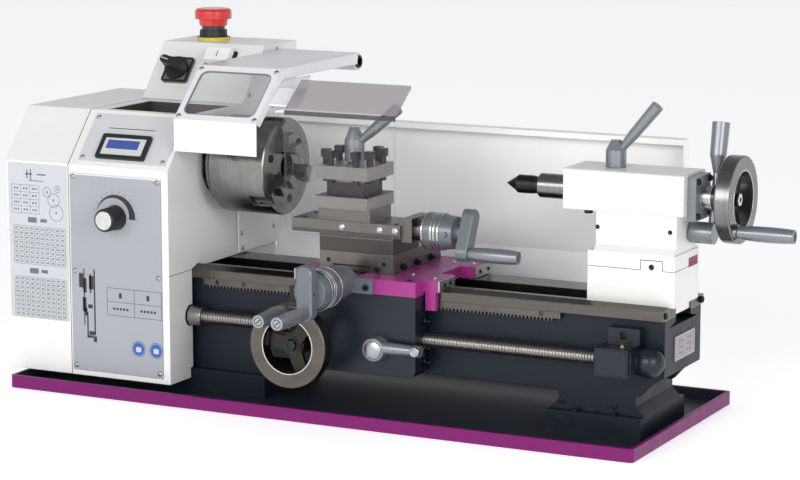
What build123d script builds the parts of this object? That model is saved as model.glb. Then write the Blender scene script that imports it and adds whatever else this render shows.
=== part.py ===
from build123d import *
from math import acos, atan2, cos, hypot, pi, radians, sin
import os

# Bench metal lathe, one named solid or solid group per physical piece.
#
# Frame, in millimetres: +X runs along the bed from the headstock to the tailstock,
# +Y runs away from the operator, +Z is up.  The origin is on the underside of the
# chip tray, below the spindle axis, at the headstock's right-hand face.

os.makedirs("parts", exist_ok=True)

# ---------------------------------------------------------------- driving sizes
SPINDLE_Z = 234.0            # spindle axis above the tray underside
WAY_Z = 130.0                # flat top of the bed ways
CHUCK_DIA = 100.0
CHUCK_X0, CHUCK_X1 = 17.0, 81.0
SHEET = 1.5                  # thickness of the folded steel covers
RUN = 0.05                   # radial running clearance of shafts
SLIP = 0.2                   # gap between flat sliding faces
GAP = 0.4                    # gap between curved faces of different bodies

TRAY = dict(x0=-183.0, x1=513.0, y0=-121.0, y1=147.0, z0=0.0, z1=13.0)
TRAY_FLOOR = 2.0
TRAY_WALL = 4.0

BED_X0, BED_X1 = -112.0, 515.0
WAY_OUT = 55.0               # outer edge of each way, from the spindle plane
WAY_IN = 20.0                # inner edge of each way
WAY_DEPTH = 9.0
VEE_MID, VEE_HALF, VEE_RISE = -43.0, 9.0, 3.5
WALL_OUT, WALL_IN = 48.0, 38.0
WEB_Z = 45.0                 # underside of the bed between its feet
FEET_X = ((-112.0, 86.0), (398.0, 496.0))
PLINTH_OUT, PLINTH_Z = 58.0, 26.0
FOOT_FLARE = 9.0
BOLT_X, BOLT_Y, BOLT_R = (-72.0, 447.0), 46.0, 4.5

HEAD_X0, HEAD_SEAM, HEAD_X1 = -196.5, -119.4, 0.0
HEAD_Y0, HEAD_Y1 = -100.0, 120.0
HEAD_Z0, HEAD_TOP = 16.5, 288.0
SLOPE_Z, SLOPE_Y = 236.0, -55.0
TROUGH = dict(x0=-106.0, x1=-2.0, y0=-47.0, y1=38.0, depth=14.0)
BOX_X0, BOX_X1, BOX_Y0, BOX_Y1, BOX_TOP_Y, BOX_TOP = -124.0, 0.0, 51.0, 168.0, 99.0, 345.5

SPEED_X, SPEED_Z = -62.0, 185.0      # speed control on the front plate

RACK_MODULE = 1.25
RACK_X0, RACK_X1 = 13.0, 410.0
RACK_Y0, RACK_Y1 = -54.0, -48.2
RACK_ROOT_Z = 114.5

SCREW_Y, SCREW_Z, SCREW_R = -59.0, 82.0, 7.0

SADDLE_TOP = 142.0
APRON = dict(x0=128.0, x1=268.0, y0=-80.0, y1=-55.5, z0=46.0, z1=127.0)
CROSS_X, CROSS_Z, CROSS_R = 189.0, 137.6, 4.0
CROSS = dict(x0=148.0, x1=230.0, y0=-53.0, y1=55.0, z0=SADDLE_TOP + SLIP, z1=161.5)
SWIVEL = dict(x0=148.0, x1=230.0, y0=-53.0, y1=4.0, z0=161.7, z1=178.4)
TOP = dict(x0=117.0, x1=238.0, y0=-54.0, y1=-6.0, z0=178.6, z1=192.0)
TOP_SCREW_Y, TOP_SCREW_Z = -33.0, 186.0
POST_X, POST_Y, POST_SIZE = 175.0, -29.0, 58.0
POST_Z0, POST_SEAT, POST_SLOT, POST_TOP = 204.6, 217.2, 233.8, 247.0

CLAMP_AT = ((-24.5, -14.0), (-24.5, 14.0), (24.5, -14.0), (24.5, 14.0),
            (-14.0, -24.5), (14.0, -24.5), (-14.0, 24.5), (14.0, 24.5))

WHEEL_X, WHEEL_Y, WHEEL_Z = 150.0, -118.0, 76.0
WHEEL_R = 42.0
LEVER_X, LEVER_Z = 228.0, 74.0

TAIL_X0, TAIL_X1, TAIL_Y = 428.5, 517.5, 32.0
TAIL_SEAM = 165.0
QUILL_X0, QUILL_R = 365.0, 12.0
BODY_X0, BODY_X1, BODY_TOP = 401.0, 524.0, 257.0
TAIL_WHEEL_X = 566.0
CLAMP_Y, CLAMP_Z = 10.0, 198.0       # bed clamp of the tailstock

GUARD_X0, GUARD_X1 = 3.0, 98.0
GUARD_Y, GUARD_Z0, GUARD_Z1 = -91.8, 256.2, 288.8
GUARD_TOP_Y, GUARD_TOP_Z = -39.0, 338.3
HINGE_Y, HINGE_Z, HINGE_R = 131.0, 330.0, 8.0
SHIELD_X0, SHIELD_X1, SHIELD_Y = 121.0, 243.0, -76.0
SHIELD_Z0, SHIELD_BEND, SHIELD_TOP_Y, SHIELD_TOP_Z = 180.0, 302.0, -40.0, 329.0
SHIELD_T = 3.0

# ---------------------------------------------------------------- small helpers


def block(x0, x1, y0, y1, z0, z1, mode=Mode.ADD):
    """A box given by its limits along the three axes."""
    with Locations(((x0 + x1) / 2, (y0 + y1) / 2, (z0 + z1) / 2)):
        Box(x1 - x0, y1 - y0, z1 - z0, mode=mode)


def rod_x(x0, x1, y, z, radius, mode=Mode.ADD):
    """A cylinder along X."""
    with Locations(((x0 + x1) / 2, y, z)):
        Cylinder(radius, x1 - x0, rotation=(0, 90, 0), mode=mode)


def rod_y(x, y0, y1, z, radius, mode=Mode.ADD):
    """A cylinder along Y."""
    with Locations((x, (y0 + y1) / 2, z)):
        Cylinder(radius, y1 - y0, rotation=(90, 0, 0), mode=mode)


def rod_z(x, y, z0, z1, radius, mode=Mode.ADD):
    """A cylinder along Z."""
    with Locations((x, y, (z0 + z1) / 2)):
        Cylinder(radius, z1 - z0, mode=mode)


def cone_x(x0, x1, y, z, r0, r1, mode=Mode.ADD):
    """A cone frustum along X, with radius r0 at x0 and r1 at x1."""
    with Locations(((x0 + x1) / 2, y, z)):
        Cone(r0, r1, x1 - x0, rotation=(0, 90, 0), mode=mode)


def cone_y(x, y0, y1, z, r0, r1, mode=Mode.ADD):
    """A cone frustum along Y, with radius r0 at y0 and r1 at y1."""
    with Locations((x, (y0 + y1) / 2, z)):
        Cone(r0, r1, y1 - y0, rotation=(-90, 0, 0), mode=mode)


def prism_x(x0, x1, corners, mode=Mode.ADD):
    """A polygon of (y, z) corners, extruded from x0 to x1."""
    with BuildSketch(Plane.YZ.offset(x0)) as profile:
        with BuildLine():
            Polyline(*corners, close=True)
        make_face()
    extrude(profile.sketch, amount=x1 - x0, mode=mode)


def prism_y(y0, y1, corners, mode=Mode.ADD):
    """A polygon of (x, z) corners, extruded from y1 to y0."""
    with BuildSketch(Plane.XZ.offset(-y1)) as profile:
        with BuildLine():
            Polyline(*corners, close=True)
        make_face()
    extrude(profile.sketch, amount=y1 - y0, mode=mode)


def gear_points(teeth, module, phase):
    """Outline of a spur gear with a tooth centred on the angle phase (radians)."""
    step = 2 * pi / teeth
    tip = module * (teeth / 2 + 1.0)
    root = module * (teeth / 2 - 1.2)
    shape = ((root, -0.30), (tip, -0.11), (tip, 0.11), (root, 0.30))
    points = []
    for tooth in range(teeth):
        for radius, share in shape:
            angle = phase + step * (tooth + share)
            points.append((radius * cos(angle), radius * sin(angle)))
    return points


def gear_x(x0, x1, y, z, teeth, module, phase):
    """A spur gear about an axis along X."""
    corners = [(y + u, z + v) for u, v in gear_points(teeth, module, phase)]
    prism_x(x0, x1, corners)


def gear_y(y0, y1, x, z, teeth, module, phase):
    """A spur gear about an axis along Y."""
    corners = [(x + u, z + v) for u, v in gear_points(teeth, module, phase)]
    prism_y(y0, y1, corners)


def save(piece, name):
    """Label a finished piece and write its STEP file."""
    piece.part.label = name
    export_step(piece.part, f"parts/{name}.step")


# ---------------------------------------------------------------- tray and bed

with BuildPart() as chip_tray:
    block(**TRAY)
    fillet(chip_tray.edges().filter_by(Axis.Z), 4)
    block(TRAY["x0"] + TRAY_WALL, TRAY["x1"] - TRAY_WALL, TRAY["y0"] + TRAY_WALL,
          TRAY["y1"] - TRAY_WALL, TRAY_FLOOR, TRAY["z1"], Mode.SUBTRACT)
    with Locations(*[(x, side * BOLT_Y, TRAY_FLOOR / 2) for x in BOLT_X for side in (-1, 1)]):
        Cylinder(BOLT_R, TRAY_FLOOR, mode=Mode.SUBTRACT)
save(chip_tray, "chip_tray")

with BuildPart() as bed:
    prism_x(BED_X0, BED_X1, [
        (-WAY_OUT, WAY_Z - WAY_DEPTH), (-WAY_OUT, WAY_Z), (VEE_MID - VEE_HALF, WAY_Z),
        (VEE_MID, WAY_Z + VEE_RISE),
        (VEE_MID + VEE_HALF, WAY_Z), (-WAY_IN, WAY_Z), (-WAY_IN, WAY_Z - 14),
        (-WALL_IN, WAY_Z - 18), (-WALL_IN, WEB_Z), (-WALL_OUT, WEB_Z),
        (-WALL_OUT, WAY_Z - WAY_DEPTH)])
    prism_x(BED_X0, BED_X1, [
        (WAY_OUT, WAY_Z - WAY_DEPTH), (WAY_OUT, WAY_Z), (WAY_IN, WAY_Z),
        (WAY_IN, WAY_Z - 14), (WALL_IN, WAY_Z - 18), (WALL_IN, WEB_Z),
        (WALL_OUT, WEB_Z), (WALL_OUT, WAY_Z - WAY_DEPTH)])
    for rib_x in (-110.0, 90.0, 240.0, 390.0):
        block(rib_x - 4, rib_x + 4, -WALL_IN, WALL_IN, WEB_Z, 100)
    block(BED_X1 - 10, BED_X1, -WALL_IN, WALL_IN, 64, 112)
    for foot_x0, foot_x1 in FEET_X:
        neck_x0, neck_x1 = foot_x0 + FOOT_FLARE, foot_x1 - FOOT_FLARE
        prism_y(-WALL_OUT, WALL_OUT, [
            (foot_x0, PLINTH_Z), (neck_x0, PLINTH_Z + 10), (neck_x0, WEB_Z + 12),
            (neck_x1, WEB_Z + 12), (neck_x1, PLINTH_Z + 10), (foot_x1, PLINTH_Z)])
        block(foot_x0, foot_x1, -PLINTH_OUT, PLINTH_OUT, TRAY_FLOOR, PLINTH_Z)
        block(foot_x0 + 18, foot_x1 - 18, -WALL_IN, WALL_IN, TRAY_FLOOR, WEB_Z + 12, Mode.SUBTRACT)
    prism_y(-WALL_OUT - 1, WALL_OUT + 1, [
        (BED_X1 + 1, 66), (BED_X1 - 6, 62), (BED_X1 - 16, 55), (BED_X1 - 26, 44), (BED_X1 + 1, 44)], Mode.SUBTRACT)
    with Locations(*[(x, side * BOLT_Y, PLINTH_Z / 2) for x in BOLT_X for side in (-1, 1)]):
        Cylinder(BOLT_R, PLINTH_Z, mode=Mode.SUBTRACT)
save(bed, "bed")

PINION_X = 155.7             # the carriage pinion meshes with a gap of the rack here


def rack_corners():
    """Outline of the rack, teeth down, with a gap centred on PINION_X."""
    pitch = pi * RACK_MODULE
    tip_z = RACK_ROOT_Z - 2.2 * RACK_MODULE
    corners = [(RACK_X1, WAY_Z - WAY_DEPTH), (RACK_X0, WAY_Z - WAY_DEPTH), (RACK_X0, RACK_ROOT_Z)]
    first = int((RACK_X0 + 3 - PINION_X) // pitch) + 1
    last = int((RACK_X1 - 3 - PINION_X) // pitch)
    for index in range(first, last):
        middle = PINION_X + pitch * (index + 0.5)
        for share, height in ((-0.30, RACK_ROOT_Z), (-0.11, tip_z), (0.11, tip_z), (0.30, RACK_ROOT_Z)):
            corners.append((middle + share * pitch, height))
    return corners + [(RACK_X1, RACK_ROOT_Z)]


with BuildPart() as gear_rack:
    prism_y(RACK_Y0, RACK_Y1, rack_corners())
    rod_y(29.0, RACK_Y0, RACK_Y0 + 3, 117.6, 2.2, Mode.SUBTRACT)
save(gear_rack, "gear_rack")

# ---------------------------------------------------------------- headstock

HEAD_SIDE = [(HEAD_Y0, HEAD_Z0), (HEAD_Y0, SLOPE_Z), (SLOPE_Y, HEAD_TOP),
             (HEAD_Y1, HEAD_TOP), (HEAD_Y1, HEAD_Z0)]
GEAR_X0, GEAR_X1 = -160.0, -150.0
CHANGE_MODULE = 1.25
SPINDLE_TEETH, IDLER_TEETH, SCREW_TEETH = 36, 86, 56
IDLER_PIN_R = 7.0
PULLEY_X0, PULLEY_X1 = -131.0, -116.0
SPINDLE_PULLEY_R, MOTOR_PULLEY_R = 30.0, 15.0
MOTOR_Y, MOTOR_Z, MOTOR_R = 84.0, 172.0, 31.0


def idler_centre():
    """Centre (y, z) of the idler gear, in mesh with the spindle and the lead screw gears."""
    to_spindle = CHANGE_MODULE * (SPINDLE_TEETH + IDLER_TEETH) / 2
    to_screw = CHANGE_MODULE * (SCREW_TEETH + IDLER_TEETH) / 2
    dy, dz = SCREW_Y, SCREW_Z - SPINDLE_Z
    span = hypot(dy, dz)
    along = (to_spindle ** 2 - to_screw ** 2 + span ** 2) / (2 * span)
    aside = (to_spindle ** 2 - along ** 2) ** 0.5
    return (along * dy - aside * dz) / span, SPINDLE_Z + (along * dz + aside * dy) / span


IDLER_Y, IDLER_Z = idler_centre()
HEAD_INNER = [(HEAD_Y0 + SHEET, HEAD_Z0), (HEAD_Y0 + SHEET, SLOPE_Z - 0.7),
              (SLOPE_Y + 0.6, HEAD_TOP - SHEET), (HEAD_Y1 - SHEET, HEAD_TOP - SHEET),
              (HEAD_Y1 - SHEET, HEAD_Z0)]

with BuildPart() as spindle_head:
    block(-106, -8, -44, 44, WAY_Z + SLIP, 160)
    prism_x(-106, -8, [(-44, 160), (-34, 185), (34, 185), (44, 160)])
    rod_x(-106, -8, 0, SPINDLE_Z, 38)
    block(-106, -8, -34, 34, 184, SPINDLE_Z)
    prism_x(-110, -4, [(VEE_MID - VEE_HALF - 1, WAY_Z), (VEE_MID, WAY_Z + VEE_RISE + 0.6),
                       (VEE_MID + VEE_HALF + 1, WAY_Z)], Mode.SUBTRACT)
    block(-82, -32, -24, 24, 198, 282, Mode.SUBTRACT)
    rod_x(-110, -4, 0, SPINDLE_Z, 20, Mode.SUBTRACT)
    for seat_x0, seat_x1 in ((-106, -92), (-22, -8)):
        rod_x(seat_x0, seat_x1, 0, SPINDLE_Z, 26, Mode.SUBTRACT)
    rod_x(GEAR_X1 + 2, -100, IDLER_Y, IDLER_Z, 10)
    rod_x(GEAR_X0 - 4, -100, IDLER_Y, IDLER_Z, IDLER_PIN_R)
save(spindle_head, "spindle_head")

with BuildPart() as spindle_bearings:
    for seat_x0, seat_x1 in ((-106, -92), (-22, -8)):
        rod_x(seat_x0, seat_x1, 0, SPINDLE_Z, 26)
        rod_x(seat_x0, seat_x1, 0, SPINDLE_Z, 15 + RUN, Mode.SUBTRACT)
        for groove_x in (seat_x0, seat_x1 - 1.5):
            rod_x(groove_x, groove_x + 1.5, 0, SPINDLE_Z, 23, Mode.SUBTRACT)
            rod_x(groove_x, groove_x + 1.5, 0, SPINDLE_Z, 18)
            rod_x(groove_x, groove_x + 1.5, 0, SPINDLE_Z, 15 + RUN, Mode.SUBTRACT)
save(spindle_bearings, "spindle_bearings")

with BuildPart() as headstock_cover:
    prism_x(HEAD_SEAM + SLIP, HEAD_X1, HEAD_SIDE)
    prism_x(HEAD_SEAM, HEAD_X1 - SHEET, HEAD_INNER, Mode.SUBTRACT)
    trough_x0, trough_x1 = TROUGH["x0"], TROUGH["x1"]
    trough_y0, trough_y1 = TROUGH["y0"], TROUGH["y1"]
    trough_z = HEAD_TOP - TROUGH["depth"]
    block(trough_x0, trough_x1, trough_y0, trough_y1, trough_z, HEAD_TOP)
    block(trough_x0 + SHEET, trough_x1 - SHEET, trough_y0 + SHEET, trough_y1 - SHEET,
          trough_z + SHEET, HEAD_TOP + 1, Mode.SUBTRACT)
    # the bed passes through the right-hand wall with little room to spare
    block(-3, 1, -PLINTH_OUT - 2, PLINTH_OUT + 2, HEAD_Z0 - 1, PLINTH_Z + 1, Mode.SUBTRACT)
    block(-3, 1, -WAY_OUT - 0.5, WAY_OUT + 0.5, PLINTH_Z, WAY_Z + 0.4, Mode.SUBTRACT)
    prism_x(-3, 1, [(VEE_MID - VEE_HALF - 1.5, WAY_Z), (VEE_MID, WAY_Z + VEE_RISE + 0.6),
                    (VEE_MID + VEE_HALF + 1.5, WAY_Z)], Mode.SUBTRACT)
    rod_y(SPEED_X, HEAD_Y0 - 1, HEAD_Y0 + 3, SPEED_Z, 6, Mode.SUBTRACT)
    rod_x(-3, 1, 0, SPINDLE_Z, 34, Mode.SUBTRACT)
    rod_x(-3, 1, SCREW_Y, SCREW_Z, 11, Mode.SUBTRACT)
save(headstock_cover, "headstock_cover")

with BuildPart() as gear_cover:
    prism_x(HEAD_X0, HEAD_SEAM - SLIP, HEAD_SIDE)
    prism_x(HEAD_X0 + SHEET, HEAD_SEAM + 1, HEAD_INNER, Mode.SUBTRACT)
    rod_x(HEAD_X0 - 1, HEAD_X0 + SHEET + 1, 0, SPINDLE_Z, 17, Mode.SUBTRACT)
save(gear_cover, "gear_cover")

BOX_FOOT = HEAD_TOP + SLIP
BOX_LEAN = [(BOX_Y0, BOX_FOOT), (BOX_TOP_Y, BOX_TOP), (BOX_Y1, BOX_TOP), (BOX_Y1, BOX_FOOT)]
BOX_INNER = [(BOX_Y0 + 2, HEAD_TOP), (BOX_TOP_Y + 0.7, BOX_TOP - SHEET),
             (BOX_Y1 - SHEET, BOX_TOP - SHEET), (BOX_Y1 - SHEET, HEAD_TOP)]
BOX_SLOPE = Plane(origin=(0, (BOX_Y0 + BOX_TOP_Y) / 2, (BOX_FOOT + BOX_TOP) / 2),
                  x_dir=(1, 0, 0), z_dir=(0, BOX_FOOT - BOX_TOP, BOX_TOP_Y - BOX_Y0))
ESTOP_X, ESTOP_Y = -84.0, 134.0
ESTOP_NECK_R = 12.6
KNOB_AT = (-92.0, -1.0)      # selector switch, on the sloping face of the box
BUTTON_AT = (-46.0, 17.0)    # start button, on the same face

with BuildPart() as control_box:
    prism_x(BOX_X0, BOX_X1, BOX_LEAN)
    prism_x(BOX_X0 + SHEET, BOX_X1 - SHEET, BOX_INNER, Mode.SUBTRACT)
    rod_z(ESTOP_X, ESTOP_Y, BOX_TOP - 5, BOX_TOP + 1, 11.3, Mode.SUBTRACT)
    rod_x(BOX_X1 - 3, BOX_X1 + 1, HINGE_Y, HINGE_Z, HINGE_R - 1.2, Mode.SUBTRACT)
    with BuildSketch(BOX_SLOPE) as switch_holes:
        with Locations(KNOB_AT):
            Circle(11.3)
        with Locations(BUTTON_AT):
            Rectangle(30, 14)
    extrude(switch_holes.sketch, amount=4, both=True, mode=Mode.SUBTRACT)
    block(BOX_X0 - 1, BOX_X1 + 1, BOX_Y0, BOX_Y1, HEAD_TOP - 2, HEAD_TOP + SLIP, Mode.SUBTRACT)
save(control_box, "control_box")

FRONT_SLOPE = Plane(origin=(0, (HEAD_Y0 + SLOPE_Y) / 2, (SLOPE_Z + HEAD_TOP) / 2),
                    x_dir=(1, 0, 0), z_dir=(0, SLOPE_Z - HEAD_TOP, SLOPE_Y - HEAD_Y0))
PLATE_T = 1.0

with BuildPart() as panel_plates:
    # lower front plate, with the hole for the speed control's shaft
    block(-117, -8, HEAD_Y0 - PLATE_T, HEAD_Y0, 22, 228)
    rod_y(SPEED_X, HEAD_Y0 - 2, HEAD_Y0 + 1, SPEED_Z, 5.3, Mode.SUBTRACT)
    # sloping plate with the raised frame of the speed display
    with BuildSketch(FRONT_SLOPE) as slope_plate:
        with Locations((-57, 0)):
            Rectangle(104, 58)
    extrude(slope_plate.sketch, amount=PLATE_T)
    with BuildSketch(FRONT_SLOPE.offset(PLATE_T)) as display_frame:
        with Locations((-60, -11)):
            RectangleRounded(58, 29, 2)
    extrude(display_frame.sketch, amount=2.5)
    # rating plate on the bed's end face
    block(BED_X1, BED_X1 + PLATE_T, -22, 30, 77, 101)
save(panel_plates, "panel_plates")

with BuildPart() as switch_bases:
    # emergency stop: yellow plate, collar and the threaded barrel below
    rod_z(ESTOP_X, ESTOP_Y, BOX_TOP, BOX_TOP + 3.5, 18)
    rod_z(ESTOP_X, ESTOP_Y, BOX_TOP + 3.5, BOX_TOP + 11, 14.5)
    rod_z(ESTOP_X, ESTOP_Y, BOX_TOP - 24, BOX_TOP, 11)
    rod_z(ESTOP_X, ESTOP_Y, BOX_TOP - 16, BOX_TOP + 12, 5.1, Mode.SUBTRACT)
    rod_z(ESTOP_X, ESTOP_Y, BOX_TOP + 2, BOX_TOP + 12, ESTOP_NECK_R + RUN, Mode.SUBTRACT)
    # selector: square escutcheon and barrel
    with BuildSketch(BOX_SLOPE) as escutcheon:
        with Locations(KNOB_AT):
            RectangleRounded(31, 31, 3)
    extrude(escutcheon.sketch, amount=4)
    with BuildSketch(BOX_SLOPE.offset(-22)) as barrel:
        with Locations(KNOB_AT):
            Circle(11)
    extrude(barrel.sketch, amount=22)
    with BuildSketch(BOX_SLOPE.offset(-10)) as knob_hole:
        with Locations(KNOB_AT):
            Circle(4.1)
    extrude(knob_hole.sketch, amount=20, mode=Mode.SUBTRACT)
    # start button: rectangular frame
    with BuildSketch(BOX_SLOPE.offset(-12)) as frame_body:
        with Locations(BUTTON_AT):
            Rectangle(29.6, 13.6)
    extrude(frame_body.sketch, amount=12)
    with BuildSketch(BOX_SLOPE) as frame_face:
        with Locations(BUTTON_AT):
            RectangleRounded(35, 20, 2)
    extrude(frame_face.sketch, amount=1.2)
    with BuildSketch(BOX_SLOPE.offset(-8)) as frame_hole:
        with Locations(BUTTON_AT):
            Rectangle(25, 10)
    extrude(frame_hole.sketch, amount=20, mode=Mode.SUBTRACT)
save(switch_bases, "switch_bases")

with BuildPart() as estop_button:
    rod_z(ESTOP_X, ESTOP_Y, BOX_TOP - 9, BOX_TOP + 18, 5)
    rod_z(ESTOP_X, ESTOP_Y, BOX_TOP + 6.5, BOX_TOP + 17, ESTOP_NECK_R)
    with Locations((ESTOP_X, ESTOP_Y, BOX_TOP + 19.5)):
        Cone(15, 16, 8)
    rod_z(ESTOP_X, ESTOP_Y, BOX_TOP + 23, BOX_TOP + 34, 20)
    fillet(estop_button.edges().group_by(Axis.Z)[-1], 4)
save(estop_button, "estop_button")

with BuildPart() as start_button:
    with BuildSketch(BOX_SLOPE.offset(-4)) as cap:
        with Locations(BUTTON_AT):
            Rectangle(24.4, 9.4)
    extrude(cap.sketch, amount=9.5)
    with BuildSketch(BOX_SLOPE.offset(4.2)) as cap_head:
        with Locations(BUTTON_AT):
            RectangleRounded(30, 17, 1)
    extrude(cap_head.sketch, amount=7, taper=3)
save(start_button, "start_button")

with BuildPart() as selector_knob:
    with BuildSketch(BOX_SLOPE.offset(-9)) as knob_shaft:
        with Locations(KNOB_AT):
            Circle(4)
    extrude(knob_shaft.sketch, amount=14)
    with BuildSketch(BOX_SLOPE.offset(4.4)) as knob_skirt:
        with Locations(KNOB_AT):
            Circle(13)
    extrude(knob_skirt.sketch, amount=5)
    with BuildSketch(BOX_SLOPE.offset(9.4)) as knob_lever:
        with Locations(KNOB_AT):
            SlotOverall(31, 9, rotation=-15)
    extrude(knob_lever.sketch, amount=11)
save(selector_knob, "selector_knob")

with BuildPart() as speed_knob:
    rod_y(SPEED_X, HEAD_Y0 - 8, HEAD_Y0 + 12, SPEED_Z, 5.25 - 0.2)
    cone_y(SPEED_X, HEAD_Y0 - 8, HEAD_Y0 - 1.6, SPEED_Z, 11.5, 13)
    rod_y(SPEED_X, HEAD_Y0 - 24, HEAD_Y0 - 8, SPEED_Z, 11.5)
    fillet(speed_knob.faces().sort_by(Axis.Y)[0].edges(), 1.5)
    block(SPEED_X - 0.6, SPEED_X + 0.6, HEAD_Y0 - 26, HEAD_Y0 - 23, SPEED_Z, SPEED_Z + 13, Mode.SUBTRACT)
save(speed_knob, "speed_knob")

with BuildPart() as motor:
    rod_x(-104, -6, MOTOR_Y, MOTOR_Z, MOTOR_R)
    rod_x(-112, -104, MOTOR_Y, MOTOR_Z, 14)
    for rib in range(-96, -12, 8):
        rod_x(rib, rib + 3, MOTOR_Y, MOTOR_Z, MOTOR_R + 2)
    rod_x(-113, -90, MOTOR_Y, MOTOR_Z, 6 + RUN, Mode.SUBTRACT)
    block(-96, -14, MOTOR_Y - 26, MOTOR_Y + 26, MOTOR_Z - MOTOR_R - 6, MOTOR_Z - MOTOR_R + 6)
save(motor, "motor")

# ---------------------------------------------------------------- drive train


def towards(from_y, from_z, to_y, to_z):
    """Direction, in radians in the YZ plane, from one gear centre to another."""
    return atan2(to_z - from_z, to_y - from_y)


def screw_gear_phase():
    """Tooth phase of the lead screw gear that fits the idler's nearest gap."""
    to_spindle = towards(IDLER_Y, IDLER_Z, 0, SPINDLE_Z)
    to_screw = towards(IDLER_Y, IDLER_Z, SCREW_Y, SCREW_Z)
    step = 2 * pi / IDLER_TEETH
    offset = (to_screw - to_spindle) / step
    lead = (round(offset) - offset) * step
    return to_screw + pi - lead * IDLER_TEETH / SCREW_TEETH


with BuildPart() as spindle:
    rod_x(-176, 5, 0, SPINDLE_Z, 15)
    rod_x(-7.6, 5, 0, SPINDLE_Z, 19)
    rod_x(5, CHUCK_X0 - 6, 0, SPINDLE_Z, 30)
    rod_x(CHUCK_X0 - 6, CHUCK_X0 + 3, 0, SPINDLE_Z, 27)
    rod_x(-180, CHUCK_X0 + 5, 0, SPINDLE_Z, 10.5, Mode.SUBTRACT)
save(spindle, "spindle")

with BuildPart() as spindle_drive:
    # toothed-belt pulley, change gear and locking nut, all keyed to the spindle
    rod_x(PULLEY_X0, PULLEY_X1, 0, SPINDLE_Z, SPINDLE_PULLEY_R)
    for rim_x in (PULLEY_X0 - 1.5, PULLEY_X1):
        rod_x(rim_x, rim_x + 1.5, 0, SPINDLE_Z, SPINDLE_PULLEY_R + 4)
    gear_x(GEAR_X0, GEAR_X1, 0, SPINDLE_Z, SPINDLE_TEETH, CHANGE_MODULE,
           towards(0, SPINDLE_Z, IDLER_Y, IDLER_Z))
    with BuildSketch(Plane.YZ.offset(-174)) as nut:
        with Locations((0, SPINDLE_Z)):
            RegularPolygon(24, 6)
    extrude(nut.sketch, amount=8)
    rod_x(-180, -110, 0, SPINDLE_Z, 15, Mode.SUBTRACT)
save(spindle_drive, "spindle_drive")

with BuildPart() as idler_gear:
    gear_x(GEAR_X0, GEAR_X1, IDLER_Y, IDLER_Z, IDLER_TEETH, CHANGE_MODULE,
           towards(IDLER_Y, IDLER_Z, 0, SPINDLE_Z) + pi / IDLER_TEETH)
    rod_x(GEAR_X0 - 3, GEAR_X1 + 1.6, IDLER_Y, IDLER_Z, 13)
    rod_x(GEAR_X0 - 4, GEAR_X1 + 2, IDLER_Y, IDLER_Z, IDLER_PIN_R + RUN, Mode.SUBTRACT)
save(idler_gear, "idler_gear")

SCREW_X0, SCREW_X1 = -166.0, 496.0
with BuildPart() as lead_screw:
    rod_x(SCREW_X0, SCREW_X1, SCREW_Y, SCREW_Z, 5)
    rod_x(-105, 455, SCREW_Y, SCREW_Z, SCREW_R)
    rod_x(1, 17, SCREW_Y, SCREW_Z, 10)
save(lead_screw, "lead_screw")

with BuildPart() as screw_gear:
    gear_x(GEAR_X0, GEAR_X1, SCREW_Y, SCREW_Z, SCREW_TEETH, CHANGE_MODULE, screw_gear_phase())
    rod_x(GEAR_X0 - 5, GEAR_X0, SCREW_Y, SCREW_Z, 9)
    rod_x(GEAR_X0 - 6, GEAR_X1 + 1, SCREW_Y, SCREW_Z, 5, Mode.SUBTRACT)
save(screw_gear, "screw_gear")

with BuildPart() as screw_bearings:
    # left bearing, bolted to the bed inside the headstock
    block(-92, -72, -70, -WALL_OUT, 68, 96)
    rod_x(-93, -71, SCREW_Y, SCREW_Z, SCREW_R + RUN, Mode.SUBTRACT)
    # right bearing block with its fixing tab
    block(458, 492, -84, -WALL_OUT, 70, 97)
    block(462, 494, -60, -WALL_OUT, 97, 113)
    # domed cap over the end of the lead screw, flat against the bed wall
    rod_x(491, 504, SCREW_Y, SCREW_Z, 13)
    with Locations((504, SCREW_Y, SCREW_Z)):
        Sphere(15)
    block(490, 520, -WALL_OUT, -40, 66, 98, Mode.SUBTRACT)
    rod_x(457, 497, SCREW_Y, SCREW_Z, 5 + RUN, Mode.SUBTRACT)
    rod_y(478, -61, -56, 106, 4, Mode.SUBTRACT)
save(screw_bearings, "screw_bearings")

with BuildPart() as motor_pulley:
    rod_x(-134, -92, MOTOR_Y, MOTOR_Z, 6)
    rod_x(PULLEY_X0, PULLEY_X1, MOTOR_Y, MOTOR_Z, MOTOR_PULLEY_R)
    for rim_x in (PULLEY_X0 - 1.5, PULLEY_X1):
        rod_x(rim_x, rim_x + 1.5, MOTOR_Y, MOTOR_Z, MOTOR_PULLEY_R + 3.5)
save(motor_pulley, "motor_pulley")


def belt_outline(grow):
    """Outline round both pulleys, held off their rims by grow."""
    big, small = SPINDLE_PULLEY_R + grow, MOTOR_PULLEY_R + grow
    span = hypot(MOTOR_Y, MOTOR_Z - SPINDLE_Z)
    heading = atan2(MOTOR_Z - SPINDLE_Z, MOTOR_Y)
    swing = acos((big - small) / span)
    tangents = []
    for turn in (swing, -swing):
        ux, uz = cos(heading + turn), sin(heading + turn)
        tangents.append((big * ux, SPINDLE_Z + big * uz))
        tangents.append((MOTOR_Y + small * ux, MOTOR_Z + small * uz))
    far = (-big * cos(heading), SPINDLE_Z - big * sin(heading))
    near = (MOTOR_Y + small * cos(heading), MOTOR_Z + small * sin(heading))
    return tangents[0], tangents[1], near, tangents[3], tangents[2], far


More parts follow.
